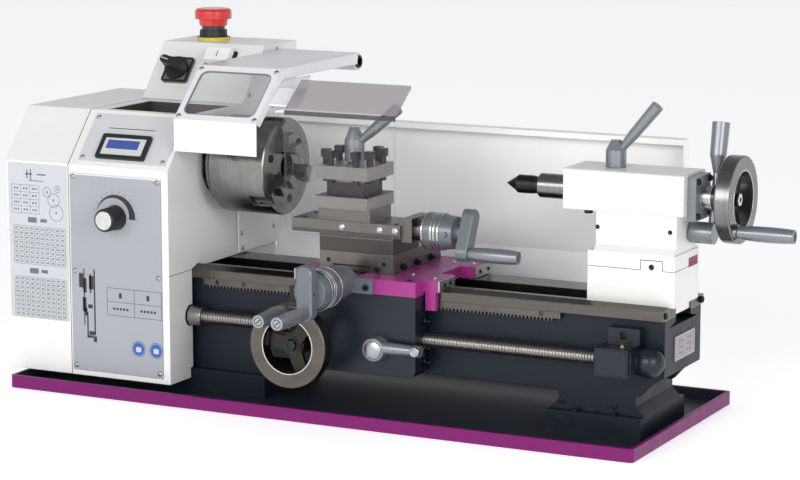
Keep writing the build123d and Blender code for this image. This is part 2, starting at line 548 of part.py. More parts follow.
with BuildPart() as drive_belt:
    for grow, mode in ((3.3, Mode.ADD), (0.3, Mode.SUBTRACT)):
        p1, p2, p3, p4, p5, p6 = belt_outline(grow)
        with BuildSketch(Plane.YZ.offset(PULLEY_X0 + 1)) as loop:
            with BuildLine():
                Line(p1, p2)
                ThreePointArc(p2, p3, p4)
                Line(p4, p5)
                ThreePointArc(p5, p6, p1)
            make_face()
        extrude(loop.sketch, amount=PULLEY_X1 - PULLEY_X0 - 2, mode=mode)
save(drive_belt, "drive_belt")

# ---------------------------------------------------------------- chuck

JAW_ANGLES = (100.0, 220.0, 340.0)
JAW_WIDTH = 13.0
CHUCK_R = CHUCK_DIA / 2

with BuildPart() as chuck_body:
    rod_x(CHUCK_X0, CHUCK_X1, 0, SPINDLE_Z, CHUCK_R)
    chamfer(chuck_body.edges().filter_by(GeomType.CIRCLE), 1.2)
    rod_x(CHUCK_X0 - 6, CHUCK_X0, 0, SPINDLE_Z, 44)
    rod_x(CHUCK_X0 - 7, CHUCK_X0 + 3, 0, SPINDLE_Z, 27, Mode.SUBTRACT)
    rod_x(CHUCK_X0, CHUCK_X1 + 1, 0, SPINDLE_Z, 13, Mode.SUBTRACT)
    for angle in JAW_ANGLES:
        with BuildSketch(Plane.YZ.offset(CHUCK_X1 - 20)) as slot:
            with Locations(Location((0, SPINDLE_Z, 0), (0, 0, angle))):
                Rectangle(CHUCK_R + 5, JAW_WIDTH + 0.6, align=(Align.MIN, Align.CENTER))
        extrude(slot.sketch, amount=21, mode=Mode.SUBTRACT)
        with BuildSketch(Plane.YZ.offset(CHUCK_X0 + 22)) as key_line:
            with Locations(Location((0, SPINDLE_Z, 0), (0, 0, angle + 60))):
                Rectangle(CHUCK_R + 5, 8, align=(Align.MIN, Align.CENTER))
                Rectangle(CHUCK_R - 14, 9, align=(Align.MIN, Align.CENTER), mode=Mode.SUBTRACT)
        extrude(key_line.sketch, amount=8, mode=Mode.SUBTRACT)
save(chuck_body, "chuck_body")


def jaw_blank(angle):
    """Stepped inside jaw, drawn along +Y and turned about the spindle axis."""
    steps = ((14.0, 46.0, CHUCK_X1 - 19.6, CHUCK_X1 + 4), (14.0, 35.0, CHUCK_X1, CHUCK_X1 + 10),
             (14.0, 24.0, CHUCK_X1, CHUCK_X1 + 16))
    with BuildPart() as jaw:
        for r0, r1, x0, x1 in steps:
            block(x0, x1, r0, r1, -JAW_WIDTH / 2, JAW_WIDTH / 2)
        chamfer(jaw.edges().filter_by(Axis.X).group_by(Axis.Y)[0], 3.6)
        for side in (-1, 1):
            groove_z = side * JAW_WIDTH / 2
            block(CHUCK_X1 - 14, CHUCK_X1 - 10, 13, 47, groove_z - 1.2, groove_z + 1.2, Mode.SUBTRACT)
    return Location((0, 0, SPINDLE_Z), (angle, 0, 0)) * jaw.part


JAW_SHAPES = [jaw_blank(angle) for angle in JAW_ANGLES]
for number, jaw_shape in enumerate(JAW_SHAPES, start=1):
    with BuildPart() as chuck_jaw:
        add(jaw_shape)
    save(chuck_jaw, f"chuck_jaw_{number}")

# ---------------------------------------------------------------- guards

GUARD_OUTER = [(GUARD_Y, GUARD_Z0), (GUARD_Y, GUARD_Z1), (GUARD_TOP_Y, GUARD_TOP_Z),
               (HINGE_Y - 6, HINGE_Z + HINGE_R + 1.5), (HINGE_Y - 6, HINGE_Z + HINGE_R),
               (GUARD_TOP_Y + 1, GUARD_TOP_Z - SHEET), (GUARD_Y + SHEET, GUARD_Z1 - 1),
               (GUARD_Y + SHEET, GUARD_Z0)]
GUARD_SLOPE = Plane(origin=((GUARD_X0 + GUARD_X1) / 2, (GUARD_Y + GUARD_TOP_Y) / 2,
                            (GUARD_Z1 + GUARD_TOP_Z) / 2),
                    x_dir=(1, 0, 0),
                    z_dir=(0, GUARD_Z1 - GUARD_TOP_Z, GUARD_TOP_Y - GUARD_Y))
WINDOW_W, WINDOW_H = 82.0, 57.0

with BuildPart() as chuck_guard:
    prism_x(GUARD_X0, GUARD_X1, GUARD_OUTER)
    with BuildSketch(GUARD_SLOPE.offset(-4)) as window:
        RectangleRounded(WINDOW_W, WINDOW_H, 8)
    extrude(window.sketch, amount=8, mode=Mode.SUBTRACT)
    # folded flanges at both ends of the sheet
    for flange_x in (GUARD_X0, GUARD_X1 - SHEET):
        prism_x(flange_x, flange_x + SHEET, [
            (GUARD_Y + SHEET, GUARD_Z1 - 1), (GUARD_TOP_Y + 1, GUARD_TOP_Z - SHEET),
            (HINGE_Y - 6, HINGE_Z + HINGE_R + 0.2), (HINGE_Y - 6, HINGE_Z - 2),
            (GUARD_TOP_Y + 4, GUARD_TOP_Z - 10), (GUARD_Y + 8, GUARD_Z1 - 4)])
    # side plate that carries the clear shield
    prism_x(GUARD_X1 - 2 * SHEET, GUARD_X1 - SHEET, [
        (-62, 298), (-66, 304), (-46, 318.5), (-32, 326), (24, 326), (14, 308), (4, 299), (-6, 296)])
    # strip that lies against the back of the clear shield's slope
    prism_x(GUARD_X1 - 2, SHIELD_X0 + 9, [(-66, 305.99), (-46, 320.817), (-46, 318.9), (-66, 304.1)])
    # hinge knuckle round the tube
    rod_x(GUARD_X0, GUARD_X0 + 92, HINGE_Y, HINGE_Z, HINGE_R + 1.5)
    rod_x(GUARD_X0 - 1, GUARD_X1, HINGE_Y, HINGE_Z, HINGE_R - 1.2, Mode.SUBTRACT)
save(chuck_guard, "chuck_guard")

with BuildPart() as guard_tube:
    rod_x(-40, GUARD_X0 + 94, HINGE_Y, HINGE_Z, HINGE_R - 1.2 - RUN)
    rod_x(GUARD_X0 - 2, GUARD_X0 + 95, HINGE_Y, HINGE_Z, 4.5, Mode.SUBTRACT)
    block(-40, -SHEET, HINGE_Y - 7, HINGE_Y + 7, HINGE_Z - 7, HINGE_Z + 7)
save(guard_tube, "guard_tube")

with BuildPart() as guard_window:
    with BuildSketch(GUARD_SLOPE.offset(-SHEET - 3.4)) as pane:
        RectangleRounded(WINDOW_W + 8, WINDOW_H + 7, 4)
    extrude(pane.sketch, amount=3)
save(guard_window, "guard_window")

with BuildPart() as chip_shield:
    prism_x(SHIELD_X0, SHIELD_X1, [
        (SHIELD_Y, SHIELD_Z0), (SHIELD_Y, SHIELD_BEND), (SHIELD_TOP_Y, SHIELD_TOP_Z),
        (SHIELD_TOP_Y + 1.8, SHIELD_TOP_Z - 2.4), (SHIELD_Y + SHIELD_T, SHIELD_BEND - 1.2),
        (SHIELD_Y + SHIELD_T, SHIELD_Z0)])
    fillet(chip_shield.edges().filter_by(Axis.Y).group_by(Axis.Z)[0], 7)
save(chip_shield, "chip_shield")


SPLASH_Y, SPLASH_TOP, SPLASH_Z0 = 127.0, 271.0, 146.0
SPLASH_X0, SPLASH_X1 = 1.0, 470.0
with BuildPart() as splash_guard:
    prism_x(SPLASH_X0, SPLASH_X1, [
        (SPLASH_Y - 14, SPLASH_TOP - 6), (SPLASH_Y - 14, SPLASH_TOP), (SPLASH_Y, SPLASH_TOP),
        (SPLASH_Y, SPLASH_Z0), (92, 40), (92, 13.2), (90.5, 13.2), (90.5, 40.5),
        (SPLASH_Y - SHEET, SPLASH_Z0 + 0.5), (SPLASH_Y - SHEET, SPLASH_TOP - SHEET),
        (SPLASH_Y - 12.5, SPLASH_TOP - SHEET), (SPLASH_Y - 12.5, SPLASH_TOP - 6)])
    prism_x(SPLASH_X1 - SHEET, SPLASH_X1, [
        (SPLASH_Y - 12.5, SPLASH_TOP - SHEET), (SPLASH_Y, SPLASH_TOP - SHEET), (SPLASH_Y, SPLASH_Z0),
        (112, 100), (98, 112), (SPLASH_Y - 12.5, SPLASH_Z0 + 4)])
    # flange that lies on the headstock's right-hand face, behind the chuck
    prism_x(SPLASH_X0, SPLASH_X0 + SHEET, [
        (36, 132), (36, 190), (62, SPLASH_TOP), (SPLASH_Y - SHEET, SPLASH_TOP),
        (SPLASH_Y - SHEET, SPLASH_Z0), (122, 132)])
save(splash_guard, "splash_guard")

# ---------------------------------------------------------------- carriage

VEE_GROOVE = [(VEE_MID - VEE_HALF - 0.6, WAY_Z), (VEE_MID - VEE_HALF - 0.6, WAY_Z + SLIP),
              (VEE_MID, WAY_Z + VEE_RISE + 0.4), (VEE_MID + VEE_HALF + 0.6, WAY_Z + SLIP),
              (VEE_MID + VEE_HALF + 0.6, WAY_Z)]

with BuildPart() as saddle:
    # cross bar over the bed, then the two wings that ride on the ways
    block(146, 268, -80, 66, WAY_Z + SLIP, SADDLE_TOP)
    block(125, 283, -62, -24, WAY_Z + SLIP, SADDLE_TOP)
    block(125, 283, 22, 64, WAY_Z + SLIP, SADDLE_TOP)
    block(146, 268, -80, -WAY_OUT - 0.5, APRON["z1"], SADDLE_TOP)
    block(270, 281, -62, -WAY_OUT - 0.5, 112, WAY_Z + 1)
    prism_x(120, 290, VEE_GROOVE, Mode.SUBTRACT)
    # channel for the cross screw and its nut
    block(CROSS_X - 12, CROSS_X + 12, -70, 58, WAY_Z, SADDLE_TOP + 1, Mode.SUBTRACT)
    rod_y(CROSS_X, -81, -69, CROSS_Z, CROSS_R + RUN, Mode.SUBTRACT)
    # rear keep plate below the way
    block(150, 264, WAY_OUT + 0.4, WAY_OUT + 9, 116, WAY_Z + 1)
    block(150, 264, WAY_OUT - 5, WAY_OUT + 9, 116, WAY_Z - WAY_DEPTH - 0.4)
save(saddle, "saddle")

with BuildPart() as way_wipers:
    for wiper_x in (123.0, 283.0):
        for y0, y1 in ((-61, -26), (24, 62)):
            block(wiper_x, wiper_x + 2, y0, y1, WAY_Z + 0.6, SADDLE_TOP - 0.5)
    prism_x(120, 290, VEE_GROOVE, Mode.SUBTRACT)
save(way_wipers, "way_wipers")

APRON_WALL = 5.0
RACK_PITCH_Z = RACK_ROOT_Z - 1.2 * RACK_MODULE
RACK_PINION_TEETH = 12
GEAR_CENTRE_Z = RACK_PITCH_Z - RACK_MODULE * RACK_PINION_TEETH / 2 - 0.1
with BuildPart() as apron:
    block(**APRON)
    fillet(apron.edges().filter_by(Axis.Y).group_by(Axis.Z)[0], 8)
    block(APRON["x0"] + APRON_WALL, APRON["x1"] - APRON_WALL, APRON["y0"] + APRON_WALL,
          APRON["y1"] + 1, APRON["z0"] + APRON_WALL, APRON["z1"] - APRON_WALL, Mode.SUBTRACT)
    block(PINION_X - 24, PINION_X + 24, APRON["y0"] + APRON_WALL, APRON["y1"] + 1,
          APRON["z1"] - APRON_WALL - 1, APRON["z1"], Mode.SUBTRACT)
    # the lead screw passes right through the side walls
    rod_x(APRON["x0"] - 1, APRON["x1"] + 1, SCREW_Y, SCREW_Z, SCREW_R + 1, Mode.SUBTRACT)
    # bosses for the handwheel shaft, the rack pinion and the half-nut cam
    rod_y(WHEEL_X, APRON["y0"] - 8, APRON["y0"] + 1, WHEEL_Z, 15)
    rod_y(WHEEL_X, APRON["y0"] - 9, APRON["y0"] + APRON_WALL + 1, WHEEL_Z, 6 + RUN, Mode.SUBTRACT)
    rod_y(PINION_X, APRON["y0"] + 1, APRON["y0"] + APRON_WALL + 1, GEAR_CENTRE_Z, 3.5 + RUN, Mode.SUBTRACT)
    rod_y(LEVER_X, APRON["y0"] - 1, APRON["y0"] + APRON_WALL + 1, LEVER_Z, 5 + RUN, Mode.SUBTRACT)
save(apron, "apron")

WHEEL_PINION_TEETH, APRON_GEAR_TEETH = 20, 40
with BuildPart() as apron_gear:
    to_pinion = atan2(WHEEL_Z - GEAR_CENTRE_Z, WHEEL_X - PINION_X)
    gear_y(APRON["y0"] + 6, APRON["y0"] + 10, PINION_X, GEAR_CENTRE_Z, APRON_GEAR_TEETH, 1.0, to_pinion)
    gear_y(RACK_Y0 - 0.5, RACK_Y1 - 1, PINION_X, GEAR_CENTRE_Z, RACK_PINION_TEETH, RACK_MODULE, pi / 2)
    rod_y(PINION_X, APRON["y0"] + 1.5, RACK_Y0, GEAR_CENTRE_Z, 3.5)
save(apron_gear, "apron_gear")

GRIP_R = 7.5


def crank_wheel():
    """Three-spoke handwheel about +Z, rim centred on z = 0, hub set back."""
    with BuildPart() as wheel:
        rod_z(0, 0, -8, 7, WHEEL_R)
        fillet(wheel.edges(), 1.5)
        rod_z(0, 0, -9, 8, WHEEL_R - 14, Mode.SUBTRACT)
        rod_z(0, 0, -14, -2, 10)
        for angle in (52, 172, 292):
            with Locations(Location((0, 0, -5), (0, 0, angle))):
                Box(WHEEL_R - 12, 14, 5, align=(Align.MIN, Align.CENTER, Align.CENTER))
    return wheel.part


def grip_shape(length):
    """Barrel-shaped crank grip about +Z, from z = 0 to its length."""
    with BuildPart() as grip:
        with BuildSketch(Plane.XZ) as half:
            with BuildLine():
                Line((2.6, 0), (GRIP_R - 1.5, 0))
                Spline((GRIP_R - 1.5, 0), (GRIP_R, length * 0.55), (GRIP_R - 1, length))
                Line((GRIP_R - 1, length), (4.6, length))
                Line((4.6, length), (4.6, length - 4))
                Line((4.6, length - 4), (2.6, length - 4))
                Line((2.6, length - 4), (2.6, 0))
            make_face()
        revolve(half.sketch, axis=Axis.Z)
    return grip.part


def grip_pin(length):
    """Shouldered screw that holds a grip, about +Z, rising from z = -10."""
    with BuildPart() as pin:
        rod_z(0, 0, -10, length - 3, 2.5)
        rod_z(0, 0, -3.3, -0.3, GRIP_R)
        rod_z(0, 0, length - 3.8, length - 0.8, 4.4)
        block(-4.5, 4.5, -0.6, 0.6, length - 1.8, length, Mode.SUBTRACT)
    return pin.part


def facing_front(x, y, z):
    """Placement that turns local +Z towards the operator (-Y)."""
    return Plane(origin=(x, y, z), x_dir=(1, 0, 0), z_dir=(0, -1, 0)).location


def facing_right(x, y, z):
    """Placement that turns local +Z along +X."""
    return Plane(origin=(x, y, z), x_dir=(0, 1, 0), z_dir=(1, 0, 0)).location


WHEEL_GRIP = (-3.0, 34.0)        # grip pin, from the wheel's centre in x and z
WHEEL_GRIP_LEN, CRANK_GRIP_LEN, TAIL_GRIP_LEN = 48.0, 52.0, 55.0
WHEEL_SHAPE = crank_wheel()
WHEEL_GRIP_SHAPE, WHEEL_PIN_SHAPE = grip_shape(WHEEL_GRIP_LEN), grip_pin(WHEEL_GRIP_LEN)
CRANK_GRIP_SHAPE, CRANK_PIN_SHAPE = grip_shape(CRANK_GRIP_LEN), grip_pin(CRANK_GRIP_LEN)
TAIL_GRIP_SHAPE, TAIL_PIN_SHAPE = grip_shape(TAIL_GRIP_LEN), grip_pin(TAIL_GRIP_LEN)
WHEEL_GRIP_PLACE = facing_front(WHEEL_X + WHEEL_GRIP[0], WHEEL_Y - 10.3, WHEEL_Z + WHEEL_GRIP[1])

with BuildPart() as carriage_handwheel:
    add(facing_front(WHEEL_X, WHEEL_Y, WHEEL_Z) * WHEEL_SHAPE)
    rod_y(WHEEL_X, WHEEL_Y + 4, APRON["y0"] + 11, WHEEL_Z, 6)
    rod_y(WHEEL_X, WHEEL_Y + 4, APRON["y0"] - 9, WHEEL_Z, 12)
    to_gear = atan2(GEAR_CENTRE_Z - WHEEL_Z, PINION_X - WHEEL_X)
    gear_y(APRON["y0"] + 5.6, APRON["y0"] + 10.4, WHEEL_X, WHEEL_Z, WHEEL_PINION_TEETH, 1.0,
           to_gear + pi / WHEEL_PINION_TEETH)
    add(WHEEL_GRIP_PLACE * WHEEL_PIN_SHAPE)
save(carriage_handwheel, "carriage_handwheel")

with BuildPart() as carriage_grip:
    add(WHEEL_GRIP_PLACE * WHEEL_GRIP_SHAPE)
save(carriage_grip, "carriage_grip")

with BuildPart() as half_nut_lever:
    rod_y(LEVER_X, APRON["y0"] - 14, APRON["y0"] - 0.4, LEVER_Z, 12)
    fillet(half_nut_lever.faces().sort_by(Axis.Y)[0].edges(), 2)
    rod_y(LEVER_X, APRON["y0"] - 2, APRON["y0"] + 8, LEVER_Z, 5)
    cone_x(LEVER_X + 4, LEVER_X + 44, APRON["y0"] - 8, LEVER_Z + 2, 6.8, 5)
    rod_x(LEVER_X + 42, LEVER_X + 50, APRON["y0"] - 8, LEVER_Z + 2, 5.8)
save(half_nut_lever, "half_nut_lever")

NUT_X0, NUT_X1, NUT_OPEN = 206.0, 252.0, 5.0
for nut_name, side in (("half_nut_upper", 1), ("half_nut_lower", -1)):
    with BuildPart() as half_nut:
        near, far = side * NUT_OPEN, side * (NUT_OPEN + 13)
        block(NUT_X0, NUT_X1, -71, -50.5, SCREW_Z + min(near, far), SCREW_Z + max(near, far))
        rod_x(NUT_X0 - 1, NUT_X1 + 1, SCREW_Y, SCREW_Z + near, SCREW_R + RUN, Mode.SUBTRACT)
    save(half_nut, nut_name)

with BuildPart() as cross_bracket:
    # tapered sleeve that carries the cross screw in front of the saddle
    cone_y(CROSS_X, -117.5, -80, CROSS_Z, 17.5, 15)
    block(CROSS_X - 34, CROSS_X + 34, -84, -80, APRON["z1"] + SLIP, SADDLE_TOP)
    rod_y(CROSS_X, -119, -79, CROSS_Z, CROSS_R + RUN, Mode.SUBTRACT)
save(cross_bracket, "cross_bracket")

with BuildPart() as cross_slide:
    block(**CROSS)
    # nut that hangs into the saddle's channel, and its thread
    block(CROSS_X - 10, CROSS_X + 10, -14, 16, 131, CROSS["z0"] + 1)
    rod_y(CROSS_X, -15, 17, CROSS_Z, CROSS_R - 0.4 + RUN, Mode.SUBTRACT)
save(cross_slide, "cross_slide")


def crank_arm(top, bottom):
    """Straight rounded crank arm in the local XY plane, thickness along +Z."""
    with BuildPart() as arm:
        with BuildSketch() as outline:
            with Locations((0, (top - bottom) / 2)):
                SlotOverall(top + bottom, 17, rotation=90)
        extrude(outline.sketch, amount=12)
        chamfer(arm.edges().group_by(Axis.Z)[-1], 1.5)
        rod_z(0, 0, -6, 6, 8.4)
    return arm.part


ARM_TOP, ARM_BOTTOM, ARM_REACH = 28.0, 27.0, 19.0
CROSS_ARM_Y = -150.0
CROSS_ARM_SHAPE = crank_arm(ARM_TOP, ARM_BOTTOM)
CROSS_ARM_PLACE = facing_front(CROSS_X, CROSS_ARM_Y, CROSS_Z)
CROSS_GRIP_PLACE = facing_front(CROSS_X, CROSS_ARM_Y - 12.3, CROSS_Z - ARM_REACH)
with BuildPart() as cross_crank:
    rod_y(CROSS_X, CROSS_ARM_Y, -70, CROSS_Z, CROSS_R)
    rod_y(CROSS_X, -70, 45, CROSS_Z, CROSS_R - 0.4)
    rod_y(CROSS_X, -140, -118, CROSS_Z, 20)
    cone_y(CROSS_X, -149.5, -140, CROSS_Z, 17, 19)
    add(CROSS_ARM_PLACE * CROSS_ARM_SHAPE)
    add(CROSS_GRIP_PLACE * CRANK_PIN_SHAPE)
save(cross_crank, "cross_crank")

with BuildPart() as cross_grip:
    add(CROSS_GRIP_PLACE * CRANK_GRIP_SHAPE)
save(cross_grip, "cross_grip")

with BuildPart() as swivel_base:
    block(**SWIVEL)
    # feed nut under the top slide, in the slide's channel
    block(178, 200, TOP_SCREW_Y - 8, TOP_SCREW_Y + 8, SWIVEL["z1"] - 1, TOP_SCREW_Z + 4)
    rod_x(170, 210, TOP_SCREW_Y, TOP_SCREW_Z, 4 + RUN, Mode.SUBTRACT)
save(swivel_base, "swivel_base")

with BuildPart() as top_slide:
    block(**TOP)
    block(POST_X - 29, POST_X + 29, POST_Y - 23, POST_Y + 23, TOP["z1"], POST_Z0 - SLIP)
    # channel for the feed screw and nut
    block(126, TOP["x1"] + 1, TOP_SCREW_Y - 9, TOP_SCREW_Y + 9, TOP["z0"] - 1, TOP_SCREW_Z + 4.8,
          Mode.SUBTRACT)
    # end bracket, neck and the stud that clamps the tool post
    block(TOP["x1"], TOP["x1"] + 11, -50, -8, 175, 199)
    rod_x(TOP["x1"] + 11, TOP["x1"] + 20, TOP_SCREW_Y, TOP_SCREW_Z, 11)
    rod_x(TOP["x1"] - 1, TOP["x1"] + 21, TOP_SCREW_Y, TOP_SCREW_Z, 4 + RUN, Mode.SUBTRACT)
    rod_z(POST_X, POST_Y, POST_Z0 - 1, 263, 6)
save(top_slide, "top_slide")

TOP_ARM_X = 296.0
TOP_ARM_TURN, TOP_REACH = -25.0, 20.0
TOP_ARM_SHAPE = crank_arm(25, 28)
TOP_ARM_PLACE = facing_right(TOP_ARM_X, TOP_SCREW_Y, TOP_SCREW_Z) * Location((0, 0, 0), (0, 0, TOP_ARM_TURN))
TOP_GRIP_PLACE = TOP_ARM_PLACE * Location((0, -TOP_REACH, 12.3))
with BuildPart() as top_crank:
    rod_x(128, TOP_ARM_X, TOP_SCREW_Y, TOP_SCREW_Z, 4)
    rod_x(259, 278, TOP_SCREW_Y, TOP_SCREW_Z, 18.5)
    cone_x(278, 291, TOP_SCREW_Y, TOP_SCREW_Z, 17.5, 16)
    add(TOP_ARM_PLACE * TOP_ARM_SHAPE)
    add(TOP_GRIP_PLACE * CRANK_PIN_SHAPE)
save(top_crank, "top_crank")

with BuildPart() as top_grip:
    add(TOP_GRIP_PLACE * CRANK_GRIP_SHAPE)
save(top_grip, "top_grip")

with BuildPart() as tool_post:
    half = POST_SIZE / 2
    core = 20.5
    block(POST_X - half, POST_X + half, POST_Y - half, POST_Y + half, POST_Z0, POST_SEAT)
    block(POST_X - core, POST_X + core, POST_Y - core, POST_Y + core, POST_SEAT, POST_SLOT)
    block(POST_X - half, POST_X + half, POST_Y - half, POST_Y + half, POST_SLOT, POST_TOP)
    rod_z(POST_X, POST_Y, POST_Z0 - 1, POST_TOP + 1, 6 + RUN, Mode.SUBTRACT)
    for side_x, side_y in CLAMP_AT:
        rod_z(POST_X + side_x, POST_Y + side_y, POST_SLOT - 1, POST_TOP + 1, 3.5, Mode.SUBTRACT)
save(tool_post, "tool_post")

with BuildPart() as tool_clamps:
    for side_x, side_y in CLAMP_AT:
        rod_z(POST_X + side_x, POST_Y + side_y, POST_SLOT - 4, POST_TOP + 7, 3.4)
        block(POST_X + side_x - 4, POST_X + side_x + 4, POST_Y + side_y - 4, POST_Y + side_y + 4,
              POST_TOP + 7, POST_TOP + 15)
save(tool_clamps, "tool_clamps")


def clamp_handle(height, reach, tilt):
    """Clamping handle: hub rising along +Z, with a lever leaning towards +X."""
    with BuildPart() as handle:
        rod_z(0, 0, 0, height * 0.62, 10)
        with Locations((0, 0, height * 0.81)):
            Cone(10, 5, height * 0.38)
        lean = Plane(origin=(0, 0, height * 0.42), x_dir=(0, 1, 0),
                     z_dir=(cos(radians(tilt)), 0, sin(radians(tilt))))
        grip_from, grip_to = reach * 0.45, reach + 5
        with Locations(lean.offset((7 + grip_from) / 2).location):
            Cone(3.6, 5.4, grip_from - 7)
        with Locations(lean.offset((grip_from + grip_to) / 2).location):
            Cone(5.4, 6.2, grip_to - grip_from)
    return handle.part


POST_HANDLE_SHAPE = clamp_handle(34, 58, 40)
with BuildPart() as post_handle:
    add(Location((POST_X, POST_Y, POST_TOP + 2.6)) * POST_HANDLE_SHAPE)
    rod_z(POST_X, POST_Y, POST_TOP + 2, POST_TOP + 19, 6 + RUN, Mode.SUBTRACT)
save(post_handle, "post_handle")

# ---------------------------------------------------------------- tailstock

NOTCH_X0, NOTCH_X1, NOTCH_Z = 483.0, 505.0, 174.5
NECK_X0, NECK_X1, NECK_Y, NECK_Z0, NECK_Z1 = 434.5, 516.4, 26.0, 186.0, 218.0
LOCK_X, LOCK_Z = 443.5, 249.0

with BuildPart() as tailstock_base:
    block(TAIL_X0, TAIL_X1, -TAIL_Y, TAIL_Y, WAY_Z + SLIP, TAIL_SEAM)
    block(NOTCH_X0, NOTCH_X1, -TAIL_Y, TAIL_Y, TAIL_SEAM - 1, NOTCH_Z)
    rod_y((NOTCH_X0 + NOTCH_X1) / 2, -TAIL_Y - 1, -TAIL_Y + 14, 168.2, 2.6, Mode.SUBTRACT)
    # tongue between the ways, clamping bolt and plate below them
    block(TAIL_X0 + 4, TAIL_X1 - 4, -WAY_IN + GAP, WAY_IN - GAP, WAY_Z - 8, WAY_Z + 1)
    rod_z(470, 0, 106, WAY_Z - 7, 6)
    block(454, 486, -30, 30, 103, 110)
save(tailstock_base, "tailstock_base")

with BuildPart() as tailstock_body:
    block(TAIL_X0, TAIL_X1, -TAIL_Y, TAIL_Y, TAIL_SEAM, NECK_Z0 - 6)
    prism_x(NECK_X0, NECK_X1, [
        (-TAIL_Y, NECK_Z0 - 6), (-NECK_Y, NECK_Z0), (-NECK_Y, NECK_Z1), (NECK_Y, NECK_Z1),
        (NECK_Y, NECK_Z0), (TAIL_Y, NECK_Z0 - 6)])
    block(BODY_X0, BODY_X1, -29, 29, NECK_Z1, BODY_TOP)
    fillet(tailstock_body.edges().filter_by(Axis.X).group_by(Axis.Z)[-1], 3)
    block(NOTCH_X0 - 0.4, NOTCH_X1 + 0.4, -TAIL_Y - 1, TAIL_Y + 1, TAIL_SEAM - 1, NOTCH_Z + 0.4,
          Mode.SUBTRACT)
    # end flange and screw journal
    block(BODY_X1, BODY_X1 + 9, -20, 20, 213, 255)
    rod_x(BODY_X1 + 9, BODY_X1 + 20, 0, SPINDLE_Z, 11.5)
    rod_x(BODY_X0 - 1, BODY_X1, 0, SPINDLE_Z, QUILL_R + RUN, Mode.SUBTRACT)
    rod_x(BODY_X1 - 1, BODY_X1 + 21, 0, SPINDLE_Z, 5 + RUN, Mode.SUBTRACT)
    # holes for the quill lock and the bed clamp
    rod_z(LOCK_X, 0, LOCK_Z - 0.5, BODY_TOP + 1, 4 + RUN, Mode.SUBTRACT)
    rod_x(NECK_X1 - 18, NECK_X1 + 2, CLAMP_Y, CLAMP_Z, 6 + RUN, Mode.SUBTRACT)
save(tailstock_body, "tailstock_body")

QUILL_X1 = 480.0
with BuildPart() as quill:
    rod_x(QUILL_X0, QUILL_X1, 0, SPINDLE_Z, QUILL_R)
    chamfer(quill.edges().sort_by(Axis.X)[0], 1)
    cone_x(QUILL_X0 - 1, QUILL_X0 + 20, 0, SPINDLE_Z, 8.06, 7, Mode.SUBTRACT)
    rod_x(QUILL_X0 + 30, QUILL_X1 + 1, 0, SPINDLE_Z, 5 + RUN, Mode.SUBTRACT)
save(quill, "quill")

with BuildPart() as dead_centre:
    cone_x(QUILL_X0 - 1, QUILL_X0 + 20, 0, SPINDLE_Z, 8.06, 7)
    rod_x(QUILL_X0 - 7.3, QUILL_X0 - 1, 0, SPINDLE_Z, 8.5)
    rod_x(QUILL_X0 - 23, QUILL_X0 - 7.3, 0, SPINDLE_Z, 9)
    cone_x(QUILL_X0 - 36, QUILL_X0 - 23, 0, SPINDLE_Z, 0.3, 8.6)
save(dead_centre, "dead_centre")

TAIL_GRIP = (-22.0, -27.5)       # grip pin, from the wheel's centre in y and z
TAIL_GRIP_X = TAIL_WHEEL_X + 10.3
TAIL_GRIP_PLACE = facing_right(TAIL_GRIP_X, TAIL_GRIP[0], SPINDLE_Z + TAIL_GRIP[1])

with BuildPart() as tail_handwheel:
    add(facing_right(TAIL_WHEEL_X, 0, SPINDLE_Z) * WHEEL_SHAPE)
    rod_x(430, TAIL_WHEEL_X - 3, 0, SPINDLE_Z, 5)
    rod_x(BODY_X1 + 20.4, TAIL_WHEEL_X - 10, 0, SPINDLE_Z, 12.5)
    with BuildSketch(Plane.YZ.offset(TAIL_WHEEL_X - 3)) as wheel_nut:
        with Locations((0, SPINDLE_Z)):
            RegularPolygon(7, 6)
    extrude(wheel_nut.sketch, amount=6)
    add(TAIL_GRIP_PLACE * TAIL_PIN_SHAPE)
save(tail_handwheel, "tail_handwheel")

with BuildPart() as tail_grip:
    add(TAIL_GRIP_PLACE * TAIL_GRIP_SHAPE)
save(tail_grip, "tail_grip")

QUILL_HANDLE_SHAPE = clamp_handle(26, 60, 50)
with BuildPart() as quill_lock:
    add(Location((LOCK_X, 0, BODY_TOP + 0.4)) * QUILL_HANDLE_SHAPE)
    rod_z(LOCK_X, 0, LOCK_Z, BODY_TOP + 2, 4)
save(quill_lock, "quill_lock")

CLAMP_TIP_Y, CLAMP_TIP_Z, CLAMP_LEVER_X = 32.0, 302.0, 537.8
with BuildPart() as tail_clamp:
    # hub beside the neck, thin shank and a tapered handle leaning back
    rod_x(NECK_X1 - 16, NECK_X1 + 3, CLAMP_Y, CLAMP_Z, 6)
    rod_x(BODY_X1 - 5.6, BODY_X1 + 17.6, CLAMP_Y, CLAMP_Z, 10.5)
    reach = hypot(CLAMP_TIP_Y - CLAMP_Y, CLAMP_TIP_Z - CLAMP_Z)
    rise = Plane(origin=(CLAMP_LEVER_X, CLAMP_Y, CLAMP_Z), x_dir=(1, 0, 0),
                 z_dir=(0, CLAMP_TIP_Y - CLAMP_Y, CLAMP_TIP_Z - CLAMP_Z))
    for at0, at1, r0, r1 in ((0, reach * 0.54, 3.6, 3.2), (reach * 0.54, reach * 0.7, 3.2, 8),
                             (reach * 0.7, reach, 8, 8.6)):
        with Locations(rise.offset((at0 + at1) / 2).location):
            Cone(r0, r1, at1 - at0)
save(tail_clamp, "tail_clamp")
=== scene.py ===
"""Looks of the bench lathe: materials, detail pieces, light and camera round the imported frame."""
import math
import random

import bmesh
import bpy
from mathutils import Matrix, Vector


